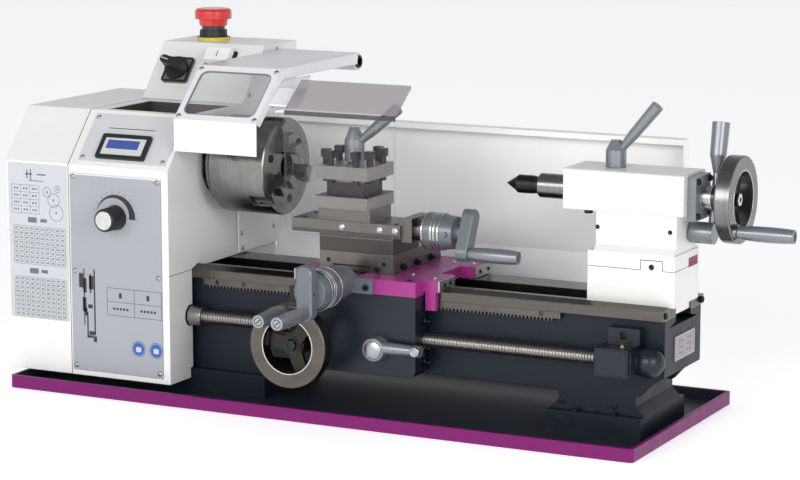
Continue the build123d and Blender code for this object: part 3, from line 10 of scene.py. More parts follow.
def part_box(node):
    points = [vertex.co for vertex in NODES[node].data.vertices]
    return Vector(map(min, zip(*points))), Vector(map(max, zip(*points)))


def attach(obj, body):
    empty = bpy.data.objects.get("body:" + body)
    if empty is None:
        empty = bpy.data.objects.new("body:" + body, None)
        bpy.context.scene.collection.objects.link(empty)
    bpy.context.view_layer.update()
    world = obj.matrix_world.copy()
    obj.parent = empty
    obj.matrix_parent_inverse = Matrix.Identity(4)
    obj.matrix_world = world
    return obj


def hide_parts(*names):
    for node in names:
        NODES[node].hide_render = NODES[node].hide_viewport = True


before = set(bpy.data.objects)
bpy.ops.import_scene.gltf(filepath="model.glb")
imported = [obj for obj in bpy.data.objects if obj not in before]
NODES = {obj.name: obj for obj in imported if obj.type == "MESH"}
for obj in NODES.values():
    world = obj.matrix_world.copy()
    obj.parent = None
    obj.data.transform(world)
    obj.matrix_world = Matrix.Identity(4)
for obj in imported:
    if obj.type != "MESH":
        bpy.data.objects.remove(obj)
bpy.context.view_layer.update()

SPINDLE_Z = 0.234

# -------- camera

YAW, PITCH = math.radians(26.77), math.radians(9.85)
camera_data = bpy.data.cameras.new("camera")
camera_data.sensor_width = 36.0
camera_data.lens = 118.2
camera_data.clip_end = 50.0
camera = bpy.data.objects.new("camera", camera_data)
camera.location = (1.38377, -2.32464, 0.61961)
look = Vector((-math.sin(YAW) * math.cos(PITCH), math.cos(YAW) * math.cos(PITCH), -math.sin(PITCH)))
camera.rotation_euler = look.to_track_quat("-Z", "Y").to_euler()
bpy.context.scene.collection.objects.link(camera)
bpy.context.scene.camera = camera


# -------- material nodes

class Shader:
    """A material whose nodes are added one call at a time."""

    def __init__(self, name):
        self.material = bpy.data.materials.new(name)
        self.material.use_nodes = True
        self.tree = self.material.node_tree
        self.tree.nodes.clear()
        self.bsdf = self.tree.nodes.new("ShaderNodeBsdfPrincipled")
        output = self.tree.nodes.new("ShaderNodeOutputMaterial")
        self.tree.links.new(self.bsdf.outputs[0], output.inputs[0])
        self.coords = self.add("ShaderNodeTexCoord").outputs["Object"]

    def add(self, kind, settings=None, **inputs):
        """Adds a node. Keywords are input names or numbers (i0, i1); a socket given there is linked."""
        node = self.tree.nodes.new(kind)
        for key, value in (settings or {}).items():
            setattr(node, key, value)
        for key, value in inputs.items():
            numbered = key[0] == "i" and key[1:].isdigit()
            self.put(node.inputs[int(key[1:]) if numbered else key], value)
        return node

    def put(self, socket, value):
        if isinstance(value, bpy.types.NodeSocket):
            self.tree.links.new(value, socket)
        elif isinstance(value, (tuple, list)) and len(value) == 3 and socket.type == "RGBA":
            socket.default_value = (*value, 1.0)
        else:
            socket.default_value = value

    def surface(self, **inputs):
        """Sets or links inputs of the surface; an underscore stands for a space in their names."""
        for key, value in inputs.items():
            self.put(self.bsdf.inputs[key.replace("_", " ")], value)

    def math(self, operation, a, b=0.0, clamp=False):
        settings = {"operation": operation, "use_clamp": clamp}
        return self.add("ShaderNodeMath", settings, i0=a, i1=b).outputs[0]

    def vector(self, operation, output=0, **inputs):
        return self.add("ShaderNodeVectorMath", {"operation": operation}, **inputs).outputs[output]

    def bump(self, strength, distance, height, normal):
        """Normal bent by a height pattern; the distance is in metres."""
        return self.add("ShaderNodeBump", Strength=strength, Distance=distance, Height=height,
                        Normal=normal).outputs[0]

    def noise(self, scale, detail=3.0, rough=0.5, vector=None):
        return self.add("ShaderNodeTexNoise", Vector=vector or self.coords, Scale=scale, Detail=detail,
                        Roughness=rough).outputs["Fac"]

    def remap(self, value, low, high, out_low, out_high):
        node = self.add("ShaderNodeMapRange", Value=value)
        for index, number in enumerate((low, high, out_low, out_high), start=1):
            node.inputs[index].default_value = number
        return node.outputs[0]

    def mix(self, factor, a, b):
        node = self.add("ShaderNodeMix", {"data_type": "RGBA"})
        self.put(node.inputs[0], factor)
        self.put(node.inputs[6], a)
        self.put(node.inputs[7], b)
        return node.outputs[2]

    def soft_edges(self, radius):
        """Rounded-edge normal, and a mask that is 1 on the edges themselves."""
        bevel = self.add("ShaderNodeBevel", {"samples": 4}, Radius=radius).outputs[0]
        true_normal = self.add("ShaderNodeNewGeometry").outputs["Normal"]
        dot = self.vector("DOT_PRODUCT", "Value", i0=bevel, i1=true_normal)
        return bevel, self.remap(dot, 0.995, 0.85, 0.0, 1.0)

    def stretched(self, x, y, z):
        """Object coordinates scaled along each axis, so a noise on them runs in streaks."""
        node = self.add("ShaderNodeMapping", Vector=self.coords)
        node.inputs["Scale"].default_value = (x, y, z)
        return node.outputs[0]

    def rings(self, axis, centre, fine):
        """Coordinates (along, radius) round an axis, for turning marks on rims and faces alike."""
        shift = Vector((0.0, 0.0, 0.0))
        others = [i for i in range(3) if i != axis]
        shift[others[0]], shift[others[1]] = -centre[0], -centre[1]
        moved = self.vector("ADD", i0=self.coords, i1=tuple(shift))
        flat = [1.0, 1.0, 1.0]
        flat[axis] = 0.0
        radial = self.vector("MULTIPLY", i0=moved, i1=tuple(flat))
        radius = self.vector("LENGTH", "Value", i0=radial)
        parts = self.add("ShaderNodeSeparateXYZ", Vector=moved).outputs
        along = self.math("MULTIPLY", parts[axis], fine)
        across = self.math("MULTIPLY", radius, fine)
        return self.add("ShaderNodeCombineXYZ", X=along, Y=across, Z=0.0).outputs[0]


def scaled(color, factor):
    return tuple(min(1.0, c * factor) for c in color)


def painted(name, color, rough=0.35, peel=0.06, wear=None, cast=0.0, coat=0.0, gloss=0.5):
    """Smooth or cast painted metal: slight colour drift, orange peel, soft edges and a little edge wear."""
    s = Shader(name)
    drift = s.noise(9.0, 4.0)
    tone = s.mix(drift, scaled(color, 0.93), scaled(color, 1.05))
    normal, edge = s.soft_edges(0.0009)
    if wear:
        patches = s.remap(s.noise(60.0, 5.0, 0.65), 0.48, 0.66, 0.0, 1.0)
        tone = s.mix(s.math("MULTIPLY", s.math("MULTIPLY", edge, patches), 0.6), tone, wear)
    grime = s.remap(s.noise(30.0, 6.0, 0.6), 0.35, 0.8, 0.0, 0.07)
    tone = s.mix(grime, tone, scaled(color, 0.55))
    fine = s.noise(700.0, 2.0)
    bump = s.bump(peel, 0.0004, fine, normal)
    if cast:
        rough_skin = s.noise(170.0, 6.0, 0.6)
        bump = s.bump(cast, 0.0012, rough_skin, bump)
    dullness = s.remap(s.noise(40.0, 4.0), 0.3, 0.7, rough * 0.85, rough * 1.15)
    s.surface(Base_Color=tone, Roughness=dullness, Normal=bump, Coat_Weight=coat, Coat_Roughness=0.12,
              Specular_IOR_Level=gloss)
    return s


def turned(name, color, rough=0.25, axis=0, centre=(0.0, SPINDLE_Z), fine=2600.0, mark=0.12,
           dirt=0.25, shade_radius=0.0):
    """Turned bright metal: fine rings round its axis; darker within the shade radius, a painted shade over a
    recessed hub and spokes.
    """
    s = Shader(name)
    ring = s.noise(1.0, 3.0, 0.6, s.rings(axis, centre, fine))
    broad = s.noise(1.0, 2.0, 0.5, s.rings(axis, centre, fine / 9.0))
    blot = s.noise(45.0, 5.0, 0.6)
    tone = s.mix(s.remap(broad, 0.3, 0.7, 0.0, 1.0), scaled(color, 0.91), scaled(color, 1.06))
    tone = s.mix(s.remap(blot, 0.45, 0.75, 0.0, dirt), tone, scaled(color, 0.45))
    # painted shade: the colour is darkened inside the shade radius
    if shade_radius:
        radius = s.add("ShaderNodeSeparateXYZ", Vector=s.rings(axis, centre, 1.0)).outputs[1]
        tone = s.mix(s.remap(radius, shade_radius - 0.0006, shade_radius + 0.0006, 1.0, 0.0), tone, scaled(color, 0.32))
    normal, edge = s.soft_edges(0.0005)
    # every edge is painted lighter: edge wear and a painted highlight
    tone = s.mix(s.math("MULTIPLY", edge, 0.5), tone, scaled(color, 1.5))
    bump = s.bump(mark, 0.0002, ring, normal)
    dullness = s.remap(ring, 0.25, 0.75, rough * 0.75, rough * 1.4)
    s.surface(Base_Color=tone, Metallic=1.0, Roughness=dullness, Normal=bump)
    return s


def machined(name, color, rough=0.3, streak=(60.0, 900.0, 900.0), mark=0.1, dirt=0.3, metal=1.0):
    """Ground or milled metal: streaks along one axis, blotches of oil and softer edges."""
    s = Shader(name)
    lines = s.noise(1.0, 3.0, 0.6, s.stretched(*streak))
    blot = s.noise(28.0, 6.0, 0.62)
    tone = s.mix(s.remap(lines, 0.3, 0.7, 0.0, 1.0), scaled(color, 0.93), scaled(color, 1.06))
    tone = s.mix(s.remap(blot, 0.42, 0.78, 0.0, dirt), tone, scaled(color, 0.4))
    normal, edge = s.soft_edges(0.0006)
    # every edge is painted lighter: edge wear and a painted highlight
    tone = s.mix(s.math("MULTIPLY", edge, 0.45), tone, scaled(color, 1.6))
    bump = s.bump(mark, 0.0003, lines, normal)
    dullness = s.remap(lines, 0.25, 0.75, rough * 0.8, rough * 1.35)
    s.surface(Base_Color=tone, Metallic=metal, Roughness=dullness, Normal=bump)
    return s


def plastic(name, color, rough=0.4, grain=0.08, coat=0.0):
    """Moulded plastic with a fine grain."""
    s = Shader(name)
    normal, edge = s.soft_edges(0.0006)
    tone = s.mix(s.noise(35.0, 4.0), scaled(color, 0.92), scaled(color, 1.08))
    # every edge is painted a little lighter: edge wear and a painted highlight
    tone = s.mix(s.math("MULTIPLY", edge, 0.15), tone, scaled(color, 1.6))
    bump = s.bump(grain, 0.0002, s.noise(1400.0, 2.0), normal)
    dullness = s.remap(s.noise(90.0, 3.0), 0.3, 0.7, rough * 0.9, rough * 1.1)
    s.surface(Base_Color=tone, Roughness=dullness, Normal=bump, Coat_Weight=coat)
    return s


def clear(name, color, alpha, fold=None):
    """Thin clear plastic sheet, lightly tinted, with faint scratches; above a fold it is made denser and
    greyer as a painted reflection, with a painted dark reflection line just below the fold.
    """
    s = Shader(name)
    scratch = s.noise(1.0, 4.0, 0.7, s.stretched(500.0, 40.0, 60.0))
    edge = s.soft_edges(0.0012)[1]
    tone = s.mix(edge, color, scaled(color, 0.5))
    s.surface(Roughness=s.remap(scratch, 0.3, 0.8, 0.03, 0.10))
    veil = s.remap(edge, 0.0, 1.0, alpha, 0.65)
    if fold:
        # painted reflection: the sheet above the fold is denser and greyer; a painted dark reflection line
        # runs 3 mm below the fold
        height = s.add("ShaderNodeSeparateXYZ", Vector=s.coords).outputs[2]
        upper_reflection = s.remap(height, fold - 0.0006, fold + 0.0006, 0.0, 0.62)
        from_fold = s.math("ABSOLUTE", s.math("SUBTRACT", height, fold - 0.0030))
        line = s.remap(from_fold, 0.0016, 0.0030, 0.75, 0.0)
        veil = s.math("MAXIMUM", s.math("MAXIMUM", veil, upper_reflection), line)
        tone = s.mix(s.remap(line, 0.1, 0.5, 0.0, 1.0), tone, scaled(color, 0.12))
    s.surface(Base_Color=tone, Alpha=veil, Specular_IOR_Level=0.5)
    return s


def inside(s, low, high):
    """Mask that is 1 where the object coordinates lie between two corners (None leaves a side open)."""
    parts = s.add("ShaderNodeSeparateXYZ", Vector=s.coords).outputs
    mask = 1.0
    for axis in range(3):
        if low[axis] is not None:
            mask = s.math("MULTIPLY", mask, s.math("GREATER_THAN", parts[axis], low[axis]))
        if high[axis] is not None:
            mask = s.math("MULTIPLY", mask, s.math("LESS_THAN", parts[axis], high[axis]))
    return mask


def recolour(s, mask, color, rough, metal=0.0, contrast=0.18):
    """Paints another finish over the masked part of a painted shader."""
    base = s.bsdf.inputs["Base Color"]
    tone = base.links[0].from_socket
    streaks = s.noise(1.0, 3.0, 0.6, s.stretched(60.0, 900.0, 900.0))
    dark, light = scaled(color, 1.0 - contrast), scaled(color, 1.0 + contrast)
    finish = s.mix(s.remap(streaks, 0.3, 0.7, 0.0, 1.0), dark, light)
    s.put(base, s.mix(mask, tone, finish))
    old_rough = s.bsdf.inputs["Roughness"].links[0].from_socket
    node = s.add("ShaderNodeMix", {"data_type": "FLOAT"})
    s.put(node.inputs[0], mask)
    s.put(node.inputs[2], old_rough)
    node.inputs[3].default_value = rough
    s.put(s.bsdf.inputs["Roughness"], node.outputs[0])
    if metal:
        s.put(s.bsdf.inputs["Metallic"], s.math("MULTIPLY", mask, metal))


NAVY = (0.0062, 0.0100, 0.0180)
MAGENTA = (0.165, 0.005, 0.115)
WHITE = (0.76, 0.76, 0.755)
SLATE = (0.135, 0.150, 0.170)
CAST_WHITE = (0.75, 0.75, 0.725)
BLACK = (0.012, 0.012, 0.013)
ZINC = (0.42, 0.42, 0.43)
BARE_EDGE = (0.05, 0.055, 0.06)      # worn edges of the dark castings
EVEN = (300.0, 300.0, 300.0)         # grain without a direction
ANY = (None, None, None)

# corners of the regions that carry a second finish, in metres
WAYS = (None, None, 0.1203), ANY
TRAY_INSIDE = (-0.1795, -0.1175, None), (0.5095, 0.1435, 0.0129)
# the tool post's waist between its slabs is darkened: painted shade between the slabs
POST_WAIST_SHADE = (None, None, 0.2165), (None, None, 0.2305)
SLOPE_PLATE = (None, None, 0.226), ANY
TROUGH_INSIDE = (-0.1055, -0.0465, 0.270), (-0.0025, 0.0375, 0.2872)
STOP_PLATE = (None, 0.112, 0.300), (-0.060, None, 0.3488)
STOP_COLLAR = (None, 0.112, 0.3489), (-0.060, None, None)
START_BASE = (-0.070, None, None), (None, 0.112, None)
STOP_STEM = ANY, (None, None, 0.3608)
TAIL_FLANGE = (0.52405, None, None), ANY
TAIL_BARREL = (0.53305, None, None), ANY

M = {}


def second_finish(finish, region, *paint):
    """Recolours a finish within a region; paint is colour, roughness, metal and contrast."""
    recolour(M[finish], inside(M[finish], *region), *paint)


M["white"] = painted("paint_white", WHITE, 0.32, 0.05, coat=0.2)
M["guard"] = painted("paint_guard", (0.74, 0.75, 0.77), 0.34, 0.05, coat=0.2)
M["cast_white"] = painted("paint_cast_white", CAST_WHITE, 0.38, 0.06, cast=0.10, coat=0.15)
M["bed"] = painted("paint_bed", NAVY, 0.40, 0.05, wear=BARE_EDGE, cast=0.20, gloss=0.25)
second_finish("bed", WAYS, (0.115, 0.105, 0.095), 0.22, 1.0, 0.08)
M["navy"] = painted("paint_navy", NAVY, 0.34, 0.05, wear=BARE_EDGE, cast=0.12, gloss=0.40)
M["magenta"] = painted("paint_magenta", (0.31, 0.020, 0.200), 0.36, 0.05,
                       wear=(0.35, 0.15, 0.25), cast=0.08, coat=0.1)
M["tray"] = painted("paint_tray", MAGENTA, 0.38, 0.05, gloss=0.25)
second_finish("tray", TRAY_INSIDE, (0.016, 0.021, 0.032), 0.45)
M["slate"] = painted("paint_slate", SLATE, 0.36, 0.05, wear=(0.5, 0.5, 0.5), coat=0.25)
M["slate"].surface(Metallic=0.3)
M["rack"] = machined("steel_rack", (0.13, 0.12, 0.11), 0.42, (200.0, 200.0, 900.0), dirt=0.5)
M["chuck"] = turned("steel_chuck", (0.25, 0.245, 0.235), 0.26, dirt=0.35)
M["spindle"] = turned("steel_spindle", (0.55, 0.54, 0.53), 0.25)
M["jaw"] = machined("steel_jaw", (0.26, 0.255, 0.25), 0.28, (700.0, 120.0, 120.0), dirt=0.5)
M["quill"] = turned("steel_quill", (0.24, 0.23, 0.23), 0.22, dirt=0.35)
M["black_steel"] = turned("steel_black", (0.035, 0.034, 0.036), 0.38, dirt=0.1)
M["screw_bar"] = turned("steel_screw", (0.34, 0.32, 0.31), 0.30, centre=(-0.059, 0.082), mark=0.04)
M["slide"] = machined("iron_slide", (0.165, 0.155, 0.145), 0.32, (900.0, 60.0, 900.0), 0.04, 0.35)
M["slide_dark"] = machined("iron_slide_dark", (0.085, 0.080, 0.076), 0.38, (60.0, 900.0, 900.0), 0.04, 0.35)
M["post"] = machined("steel_post", (0.19, 0.18, 0.165), 0.30, (1200.0, 1200.0, 1200.0), 0.03, 0.3)
# painted shade: the waist between the post's slabs is darkened
second_finish("post", POST_WAIST_SHADE, (0.045, 0.042, 0.040), 0.42, 1.0)
M["gear"] = machined("steel_gear", (0.35, 0.35, 0.36), 0.35, EVEN)
# both handwheels are darkened inside the rim's inner radius: painted shade over their recessed hubs and
# spokes
M["wheel_c"] = turned("steel_wheel", (0.135, 0.120, 0.104), 0.28, 1, (0.150, 0.076), dirt=0.45, shade_radius=0.0272)
M["wheel_t"] = turned("steel_wheel_tail", (0.22, 0.215, 0.21), 0.24, dirt=0.4, shade_radius=0.0272)
M["handle"] = painted("handle_grey", (0.21, 0.225, 0.25), 0.30, 0.03, coat=0.35)
M["handle"].surface(Metallic=0.55)
M["brass"] = machined("brass", (0.50, 0.36, 0.13), 0.35)
M["aluminium"] = painted("aluminium_plate", (0.335, 0.342, 0.372), 0.42, 0.02)
second_finish("aluminium", SLOPE_PLATE, (0.62, 0.625, 0.64), 0.40, 0.15, 0.03)
M["black"] = plastic("plastic_black", BLACK, 0.42)
M["button"] = plastic("plastic_white", (0.80, 0.80, 0.80), 0.35)
M["motor"] = painted("paint_motor", (0.04, 0.045, 0.055), 0.45, 0.1, cast=0.1)
M["belt"] = plastic("rubber_belt", (0.015, 0.015, 0.015), 0.7, 0.2)
M["clear"] = clear("clear_shield", (0.36, 0.325, 0.345), 0.03, fold=0.303)
M["window"] = clear("clear_window", ZINC, 0.09)

M["screw_metal"] = turned("screw_zinc", ZINC, 0.3, 1, (0.0, 0.2), 900.0, 0.05, 0.3)
M["black_metal"] = machined("screw_black", (0.030, 0.030, 0.032), 0.38, EVEN, 0.05, 0.2)
M["bright"] = turned("steel_bright", (0.66, 0.66, 0.67), 0.18, 0, (0.0, SPINDLE_Z), 1800.0, 0.06, 0.1)
M["shadow_steel"] = machined("steel_shadow", (0.05, 0.05, 0.055), 0.45, EVEN)
M["handle_bright"] = machined("handle_cap", (0.42, 0.43, 0.45), 0.28, (200.0, 200.0, 200.0), 0.05, 0.15)
M["ink"] = plastic("print_black", (0.020, 0.021, 0.026), 0.5, 0.02)
M["label"] = plastic("label_grey", (0.50, 0.515, 0.54), 0.42, 0.02)
M["faint_ink"] = plastic("print_grey", (0.13, 0.135, 0.15), 0.5, 0.02)
M["accent"] = plastic("print_magenta", (0.26, 0.018, 0.10), 0.45, 0.02)
M["blue"] = plastic("print_blue", (0.02, 0.10, 0.36), 0.35, 0.02)
M["screen"] = plastic("display_blue", (0.045, 0.085, 0.32), 0.12, 0.01, 0.6)
M["shadow"] = plastic("gap_dark", (0.015, 0.015, 0.016), 0.8, 0.02)
M["gasket"] = plastic("gasket_grey", (0.20, 0.20, 0.21), 0.6, 0.05)
M["tray_fold"] = painted("paint_tray_fold", (0.045, 0.055, 0.075), 0.45, 0.05)
M["cover"] = painted("paint_cover", WHITE, 0.32, 0.05, coat=0.2)
second_finish("cover", TROUGH_INSIDE, (0.055, 0.047, 0.042), 0.35)
M["switches"] = plastic("switch_plastic", (0.115, 0.12, 0.13), 0.42)
second_finish("switches", STOP_PLATE, (0.62, 0.50, 0.03), 0.45)
second_finish("switches", STOP_COLLAR, BLACK, 0.40)
second_finish("switches", START_BASE, BLACK, 0.40)
M["stop"] = plastic("plastic_red", (0.60, 0.022, 0.016), 0.30, 0.03, 0.35)
second_finish("stop", STOP_STEM, BLACK, 0.40)
# the splash guard's white is brighter than the other white paint: painted light that lifts this shaded face
M["splash"] = painted("paint_splash_lightened", (0.90, 0.90, 0.90), 0.35, 0.05, coat=0.1)
M["wiper"] = machined("wiper_plate", (0.50, 0.50, 0.51), 0.34, EVEN, 0.05, 0.3)
M["tail"] = painted("paint_tailstock", CAST_WHITE, 0.38, 0.06, cast=0.10, coat=0.15)
second_finish("tail", TAIL_FLANGE, (0.17, 0.185, 0.205), 0.34)
second_finish("tail", TAIL_BARREL, ZINC, 0.25, 1.0)

# finish: the CAD nodes that wear it
FINISH = {
    "tray": "chip_tray", "bed": "bed", "rack": "gear_rack", "navy": "spindle_head screw_bearings apron",
    "spindle": "spindle_bearings spindle spindle_drive", "cover": "headstock_cover",
    "white": "gear_cover control_box", "aluminium": "panel_plates", "switches": "switch_bases",
    "stop": "estop_button", "button": "start_button", "black": "selector_knob speed_knob", "motor": "motor",
    "gear": "idler_gear screw_gear motor_pulley apron_gear", "screw_bar": "lead_screw",
    "belt": "drive_belt", "chuck": "chuck_body", "jaw": "chuck_jaw_1 chuck_jaw_2 chuck_jaw_3",
    "guard": "chuck_guard", "black_steel": "guard_tube tool_clamps dead_centre", "window": "guard_window",
    "clear": "chip_shield", "splash": "splash_guard", "magenta": "saddle", "wiper": "way_wipers",
    "wheel_c": "carriage_handwheel",
    "handle": "carriage_grip half_nut_lever cross_grip top_grip post_handle tail_grip quill_lock tail_clamp",
    "brass": "half_nut_upper half_nut_lower", "slate": "cross_bracket cross_crank top_crank",
    "slide": "cross_slide top_slide", "slide_dark": "swivel_base", "post": "tool_post",
    "cast_white": "tailstock_base", "tail": "tailstock_body", "quill": "quill", "wheel_t": "tail_handwheel"}
for finish, node_names in FINISH.items():
    for node_name in node_names.split():
        mesh = NODES[node_name].data
        mesh.materials.clear()
        mesh.materials.append(M[finish].material)

# -------- mesh tools

MM = 0.001
X, Y, Z = Vector((1, 0, 0)), Vector((0, 1, 0)), Vector((0, 0, 1))


def frame_at(origin, normal, right=None):
    """Matrix whose local z is the normal and local x lies along right, in millimetres."""
    z = Vector(normal).normalized()
    x = Vector(right) if right else (X if abs(z.x) < 0.9 else Y)
    x = (x - z * x.dot(z)).normalized()
    rows = Matrix((x, z.cross(x), z)).transposed().to_4x4()
    return Matrix.Translation(Vector(origin)) @ rows


def lathe(bm, where, profile, steps=32, closed=False):
    """Revolves (radius, height) points about local z. A closed profile makes a ring."""
    rings = []
    for radius, height in profile:
        if radius < 1e-6:
            rings.append([bm.verts.new(where @ Vector((0, 0, height)))] * steps)
            continue
        loop = []
        for i in range(steps):
            angle = 2 * math.pi * i / steps
            spot = Vector((radius * math.cos(angle), radius * math.sin(angle), height))
            loop.append(bm.verts.new(where @ spot))
        rings.append(loop)
    pairs = list(zip(rings, rings[1:]))
    if closed:
        pairs.append((rings[-1], rings[0]))
    for low, high in pairs:
        for i in range(steps):
            j = (i + 1) % steps
            corners = []
            for vert in (low[i], low[j], high[j], high[i]):
                if vert not in corners:
                    corners.append(vert)
            if len(corners) > 2:
                bm.faces.new(corners)


def prism(bm, where, outline, low, high):
    """Extrudes a flat outline of (x, y) points from local z low to high."""
    under = [bm.verts.new(where @ Vector((x, y, low))) for x, y in outline]
    over = [bm.verts.new(where @ Vector((x, y, high))) for x, y in outline]
    bm.faces.new(under[::-1])
    bm.faces.new(over)
    for i in range(len(outline)):
        j = (i + 1) % len(outline)
        bm.faces.new((under[i], under[j], over[j], over[i]))


def rounded(w, h, radius, at=(0.0, 0.0), steps=5):
    """Outline of a rounded rectangle."""
    points = []
    for index, (sx, sy) in enumerate(((1, 1), (-1, 1), (-1, -1), (1, -1))):
        for i in range(steps + 1):
            angle = math.pi / 2 * (index + i / steps)
            points.append((at[0] + sx * (w / 2 - radius) + radius * math.cos(angle),
                           at[1] + sy * (h / 2 - radius) + radius * math.sin(angle)))
    return points


def bar(bm, where, x0, x1, y0, y1, low, high):
    """Thin strip or plate given by its limits."""
    prism(bm, where, [(x0, y0), (x1, y0), (x1, y1), (x0, y1)], low, high)


def frame_bars(bm, where, w, h, inner_w, inner_h, radius, low, high, at=(0.0, 0.0), inner_radius=0.6):
    """Raised rounded frame round an opening."""
    outer = rounded(w, h, radius, at)
    inner = rounded(inner_w, inner_h, inner_radius, at)
    count = len(outer)
    rows = []
    for z, loop in ((low, outer), (high, outer), (high, inner), (low, inner)):
        rows.append([bm.verts.new(where @ Vector((x, y, z))) for x, y in loop])
    for a, b in zip(rows, rows[1:] + rows[:1]):
        for i in range(count):
            j = (i + 1) % count
            bm.faces.new((a[i], a[j], b[j], b[i]))


def socket_screw(bm, where, radius=3.0, height=3.0):
    """Cap screw head with a hexagon-sized socket."""
    inner = radius * 0.52
    lathe(bm, where, [(0, height * 0.35), (inner * 0.9, height * 0.35), (inner, height * 0.5),
                      (inner, height), (radius * 0.86, height), (radius, height * 0.86),
                      (radius, -0.3), (0, -0.3)], 24)


def panel_screw(bm, where, radius=2.8, height=1.4):
    """Domed screw head with a cross recess."""
    lathe(bm, where, [(0, height * 0.2), (radius * 0.18, height * 0.3), (radius * 0.34, height),
                      (radius * 0.6, height * 0.92), (radius * 0.9, height * 0.5), (radius, 0.0),
                      (radius, -0.3), (0, -0.3)], 20)
    for turn in (0.0, math.pi / 2):
        slot = where @ Matrix.Rotation(turn + 0.4, 4, "Z")
        bar(bm, slot, -radius * 0.55, radius * 0.55, -radius * 0.1, radius * 0.1, height * 0.9, height * 1.01)


def hex_nut(bm, where, radius, height, bore):
    """Chamfered hexagon nut with a plain bore."""
    lathe(bm, where, [(bore, 0), (bore, height), (radius * 0.86, height), (radius, height * 0.8),
                      (radius, 0)], 6, True)


def stud(bm, where, nut, thread, shoulder, tip, end):
    """Threaded stud in a nut given by radius, height and bore; chamfered from shoulder to end."""
    hex_nut(bm, where, *nut)
    lathe(bm, where, [(0, 0), (thread, 0), (thread, shoulder), (tip, end), (0, end)], 16)


def ring(bm, where, inner, outer, low, high, steps=48):
    """Square-edged ring between two heights."""
    lathe(bm, where, [(inner, low), (inner, high), (outer, high), (outer, low)], steps, True)


def piece(name, bm, body, finish, angle=35.0):
    """Turns a mesh in millimetres into a named piece that rides on a body."""
    bmesh.ops.scale(bm, vec=(MM, MM, MM), verts=bm.verts)
    bmesh.ops.recalc_face_normals(bm, faces=bm.faces)
    mesh = bpy.data.meshes.new(name)
    bm.to_mesh(mesh)
    bm.free()
    mesh.shade_smooth()
    mesh.set_sharp_from_angle(angle=math.radians(angle))
    mesh.materials.append(M[finish].material)
    obj = bpy.data.objects.new(name, mesh)
    bpy.context.scene.collection.objects.link(obj)
    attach(obj, body)
    return obj


def limit(node, axis, side):
    """Lowest (side 0) or highest (side 1) coordinate of a CAD node, in millimetres."""
    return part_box(node)[side][axis] / MM


FRONT, BACK = (0, -1, 0), (0, 1, 0)
RIGHT, LEFT = (1, 0, 0), (-1, 0, 0)
SPINDLE = frame_at((0, 0, 234), RIGHT)

# -------- lead screw

SCREW_AXIS = (-59.0, 82.0)
THREAD_X0, THREAD_X1, THREAD_PITCH, THREAD_STEPS = 17.2, 455.0, 3.0, 20


def sweep_thread(bm):
    """Closed trapezoidal ridge wound round the screw's core."""
    turns = (THREAD_X1 - THREAD_X0 - THREAD_PITCH) / THREAD_PITCH
    shape = ((0.0, 5.4), (0.75, 6.95), (1.65, 6.95), (2.4, 5.4))
    rows = []
    for i in range(int(turns * THREAD_STEPS) + 1):
        angle = 2 * math.pi * i / THREAD_STEPS
        x = THREAD_X0 + THREAD_PITCH * i / THREAD_STEPS
        row = []
        for offset, radius in shape:
            y = SCREW_AXIS[0] + radius * math.cos(angle)
            z = SCREW_AXIS[1] + radius * math.sin(angle)
            row.append(bm.verts.new((x + offset, y, z)))
        rows.append(row)
    for a, b in zip(rows, rows[1:]):
        for k in range(4):
            m = (k + 1) % 4
            bm.faces.new((a[k], a[m], b[m], b[k]))
    bm.faces.new(rows[0])
    bm.faces.new(rows[-1][::-1])


bm = bmesh.new()
along_screw = frame_at((0, SCREW_AXIS[0], SCREW_AXIS[1]), RIGHT)
screw_x0, screw_x1 = limit("lead_screw", 0, 0), limit("lead_screw", 0, 1)
lathe(bm, along_screw, [
    (0, screw_x0), (4.6, screw_x0), (5, screw_x0 + 0.4), (5, -105), (7, -105), (7, 1), (9.4, 1),
    (10, 1.6), (10, 15.6), (9.4, 16.2), (7, 16.6), (7, 17), (5.7, 17.6), (5.7, 454.6), (7, 455),
    (7, 457), (5, 457), (5, screw_x1 - 0.4), (4.6, screw_x1), (0, screw_x1)])
sweep_thread(bm)
screw = piece("lead_screw_thread", bm, "screw_unit", "screw_bar")
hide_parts("lead_screw")

# -------- headstock front

plate_front = frame_at((0, -101, 0), FRONT)
cover_front = frame_at((0, limit("gear_cover", 1, 0), 0), FRONT)

bm = bmesh.new()
for x, z in ((-113, 224), (-12, 224), (-113, 126), (-12, 126), (-113, 27), (-12, 27)):
    panel_screw(bm, plate_front @ Matrix.Translation((x, z, 0)))
SLOPE = frame_at((0, -77.5, 262), (0, -52, 45))
for x, v in ((-105, 24.5), (-9, 24.5), (-105, -24.5), (-9, -24.5)):
    panel_screw(bm, SLOPE @ Matrix.Translation((x, v, 1.0)), 2.5, 1.2)
piece("panel_screws", bm, "machine", "screw_metal")


def arc_band(bm, where, centre, outer, widths, angles, low, high, steps=36):
    """Band along an arc whose width runs from the first of widths to the second."""
    outer_arc, inner_arc = [], []
    for i in range(steps + 1):
        share = i / steps
        angle = math.radians(angles[0] + (angles[1] - angles[0]) * share)
        width = widths[0] + (widths[1] - widths[0]) * share
        for points, radius in ((outer_arc, outer), (inner_arc, outer - width)):
            points.append((centre[0] + radius * math.cos(angle), centre[1] + radius * math.sin(angle)))
    rows = [[bm.verts.new(where @ Vector((x, y, z))) for x, y in loop]
            for z, loop in ((low, outer_arc), (high, outer_arc), (high, inner_arc), (low, inner_arc))]
    for a, b in zip(rows, rows[1:] + rows[:1]):
        for i in range(steps):
            bm.faces.new((a[i], a[i + 1], b[i + 1], b[i]))
    for i in (0, steps):
        bm.faces.new([row[i] for row in rows])


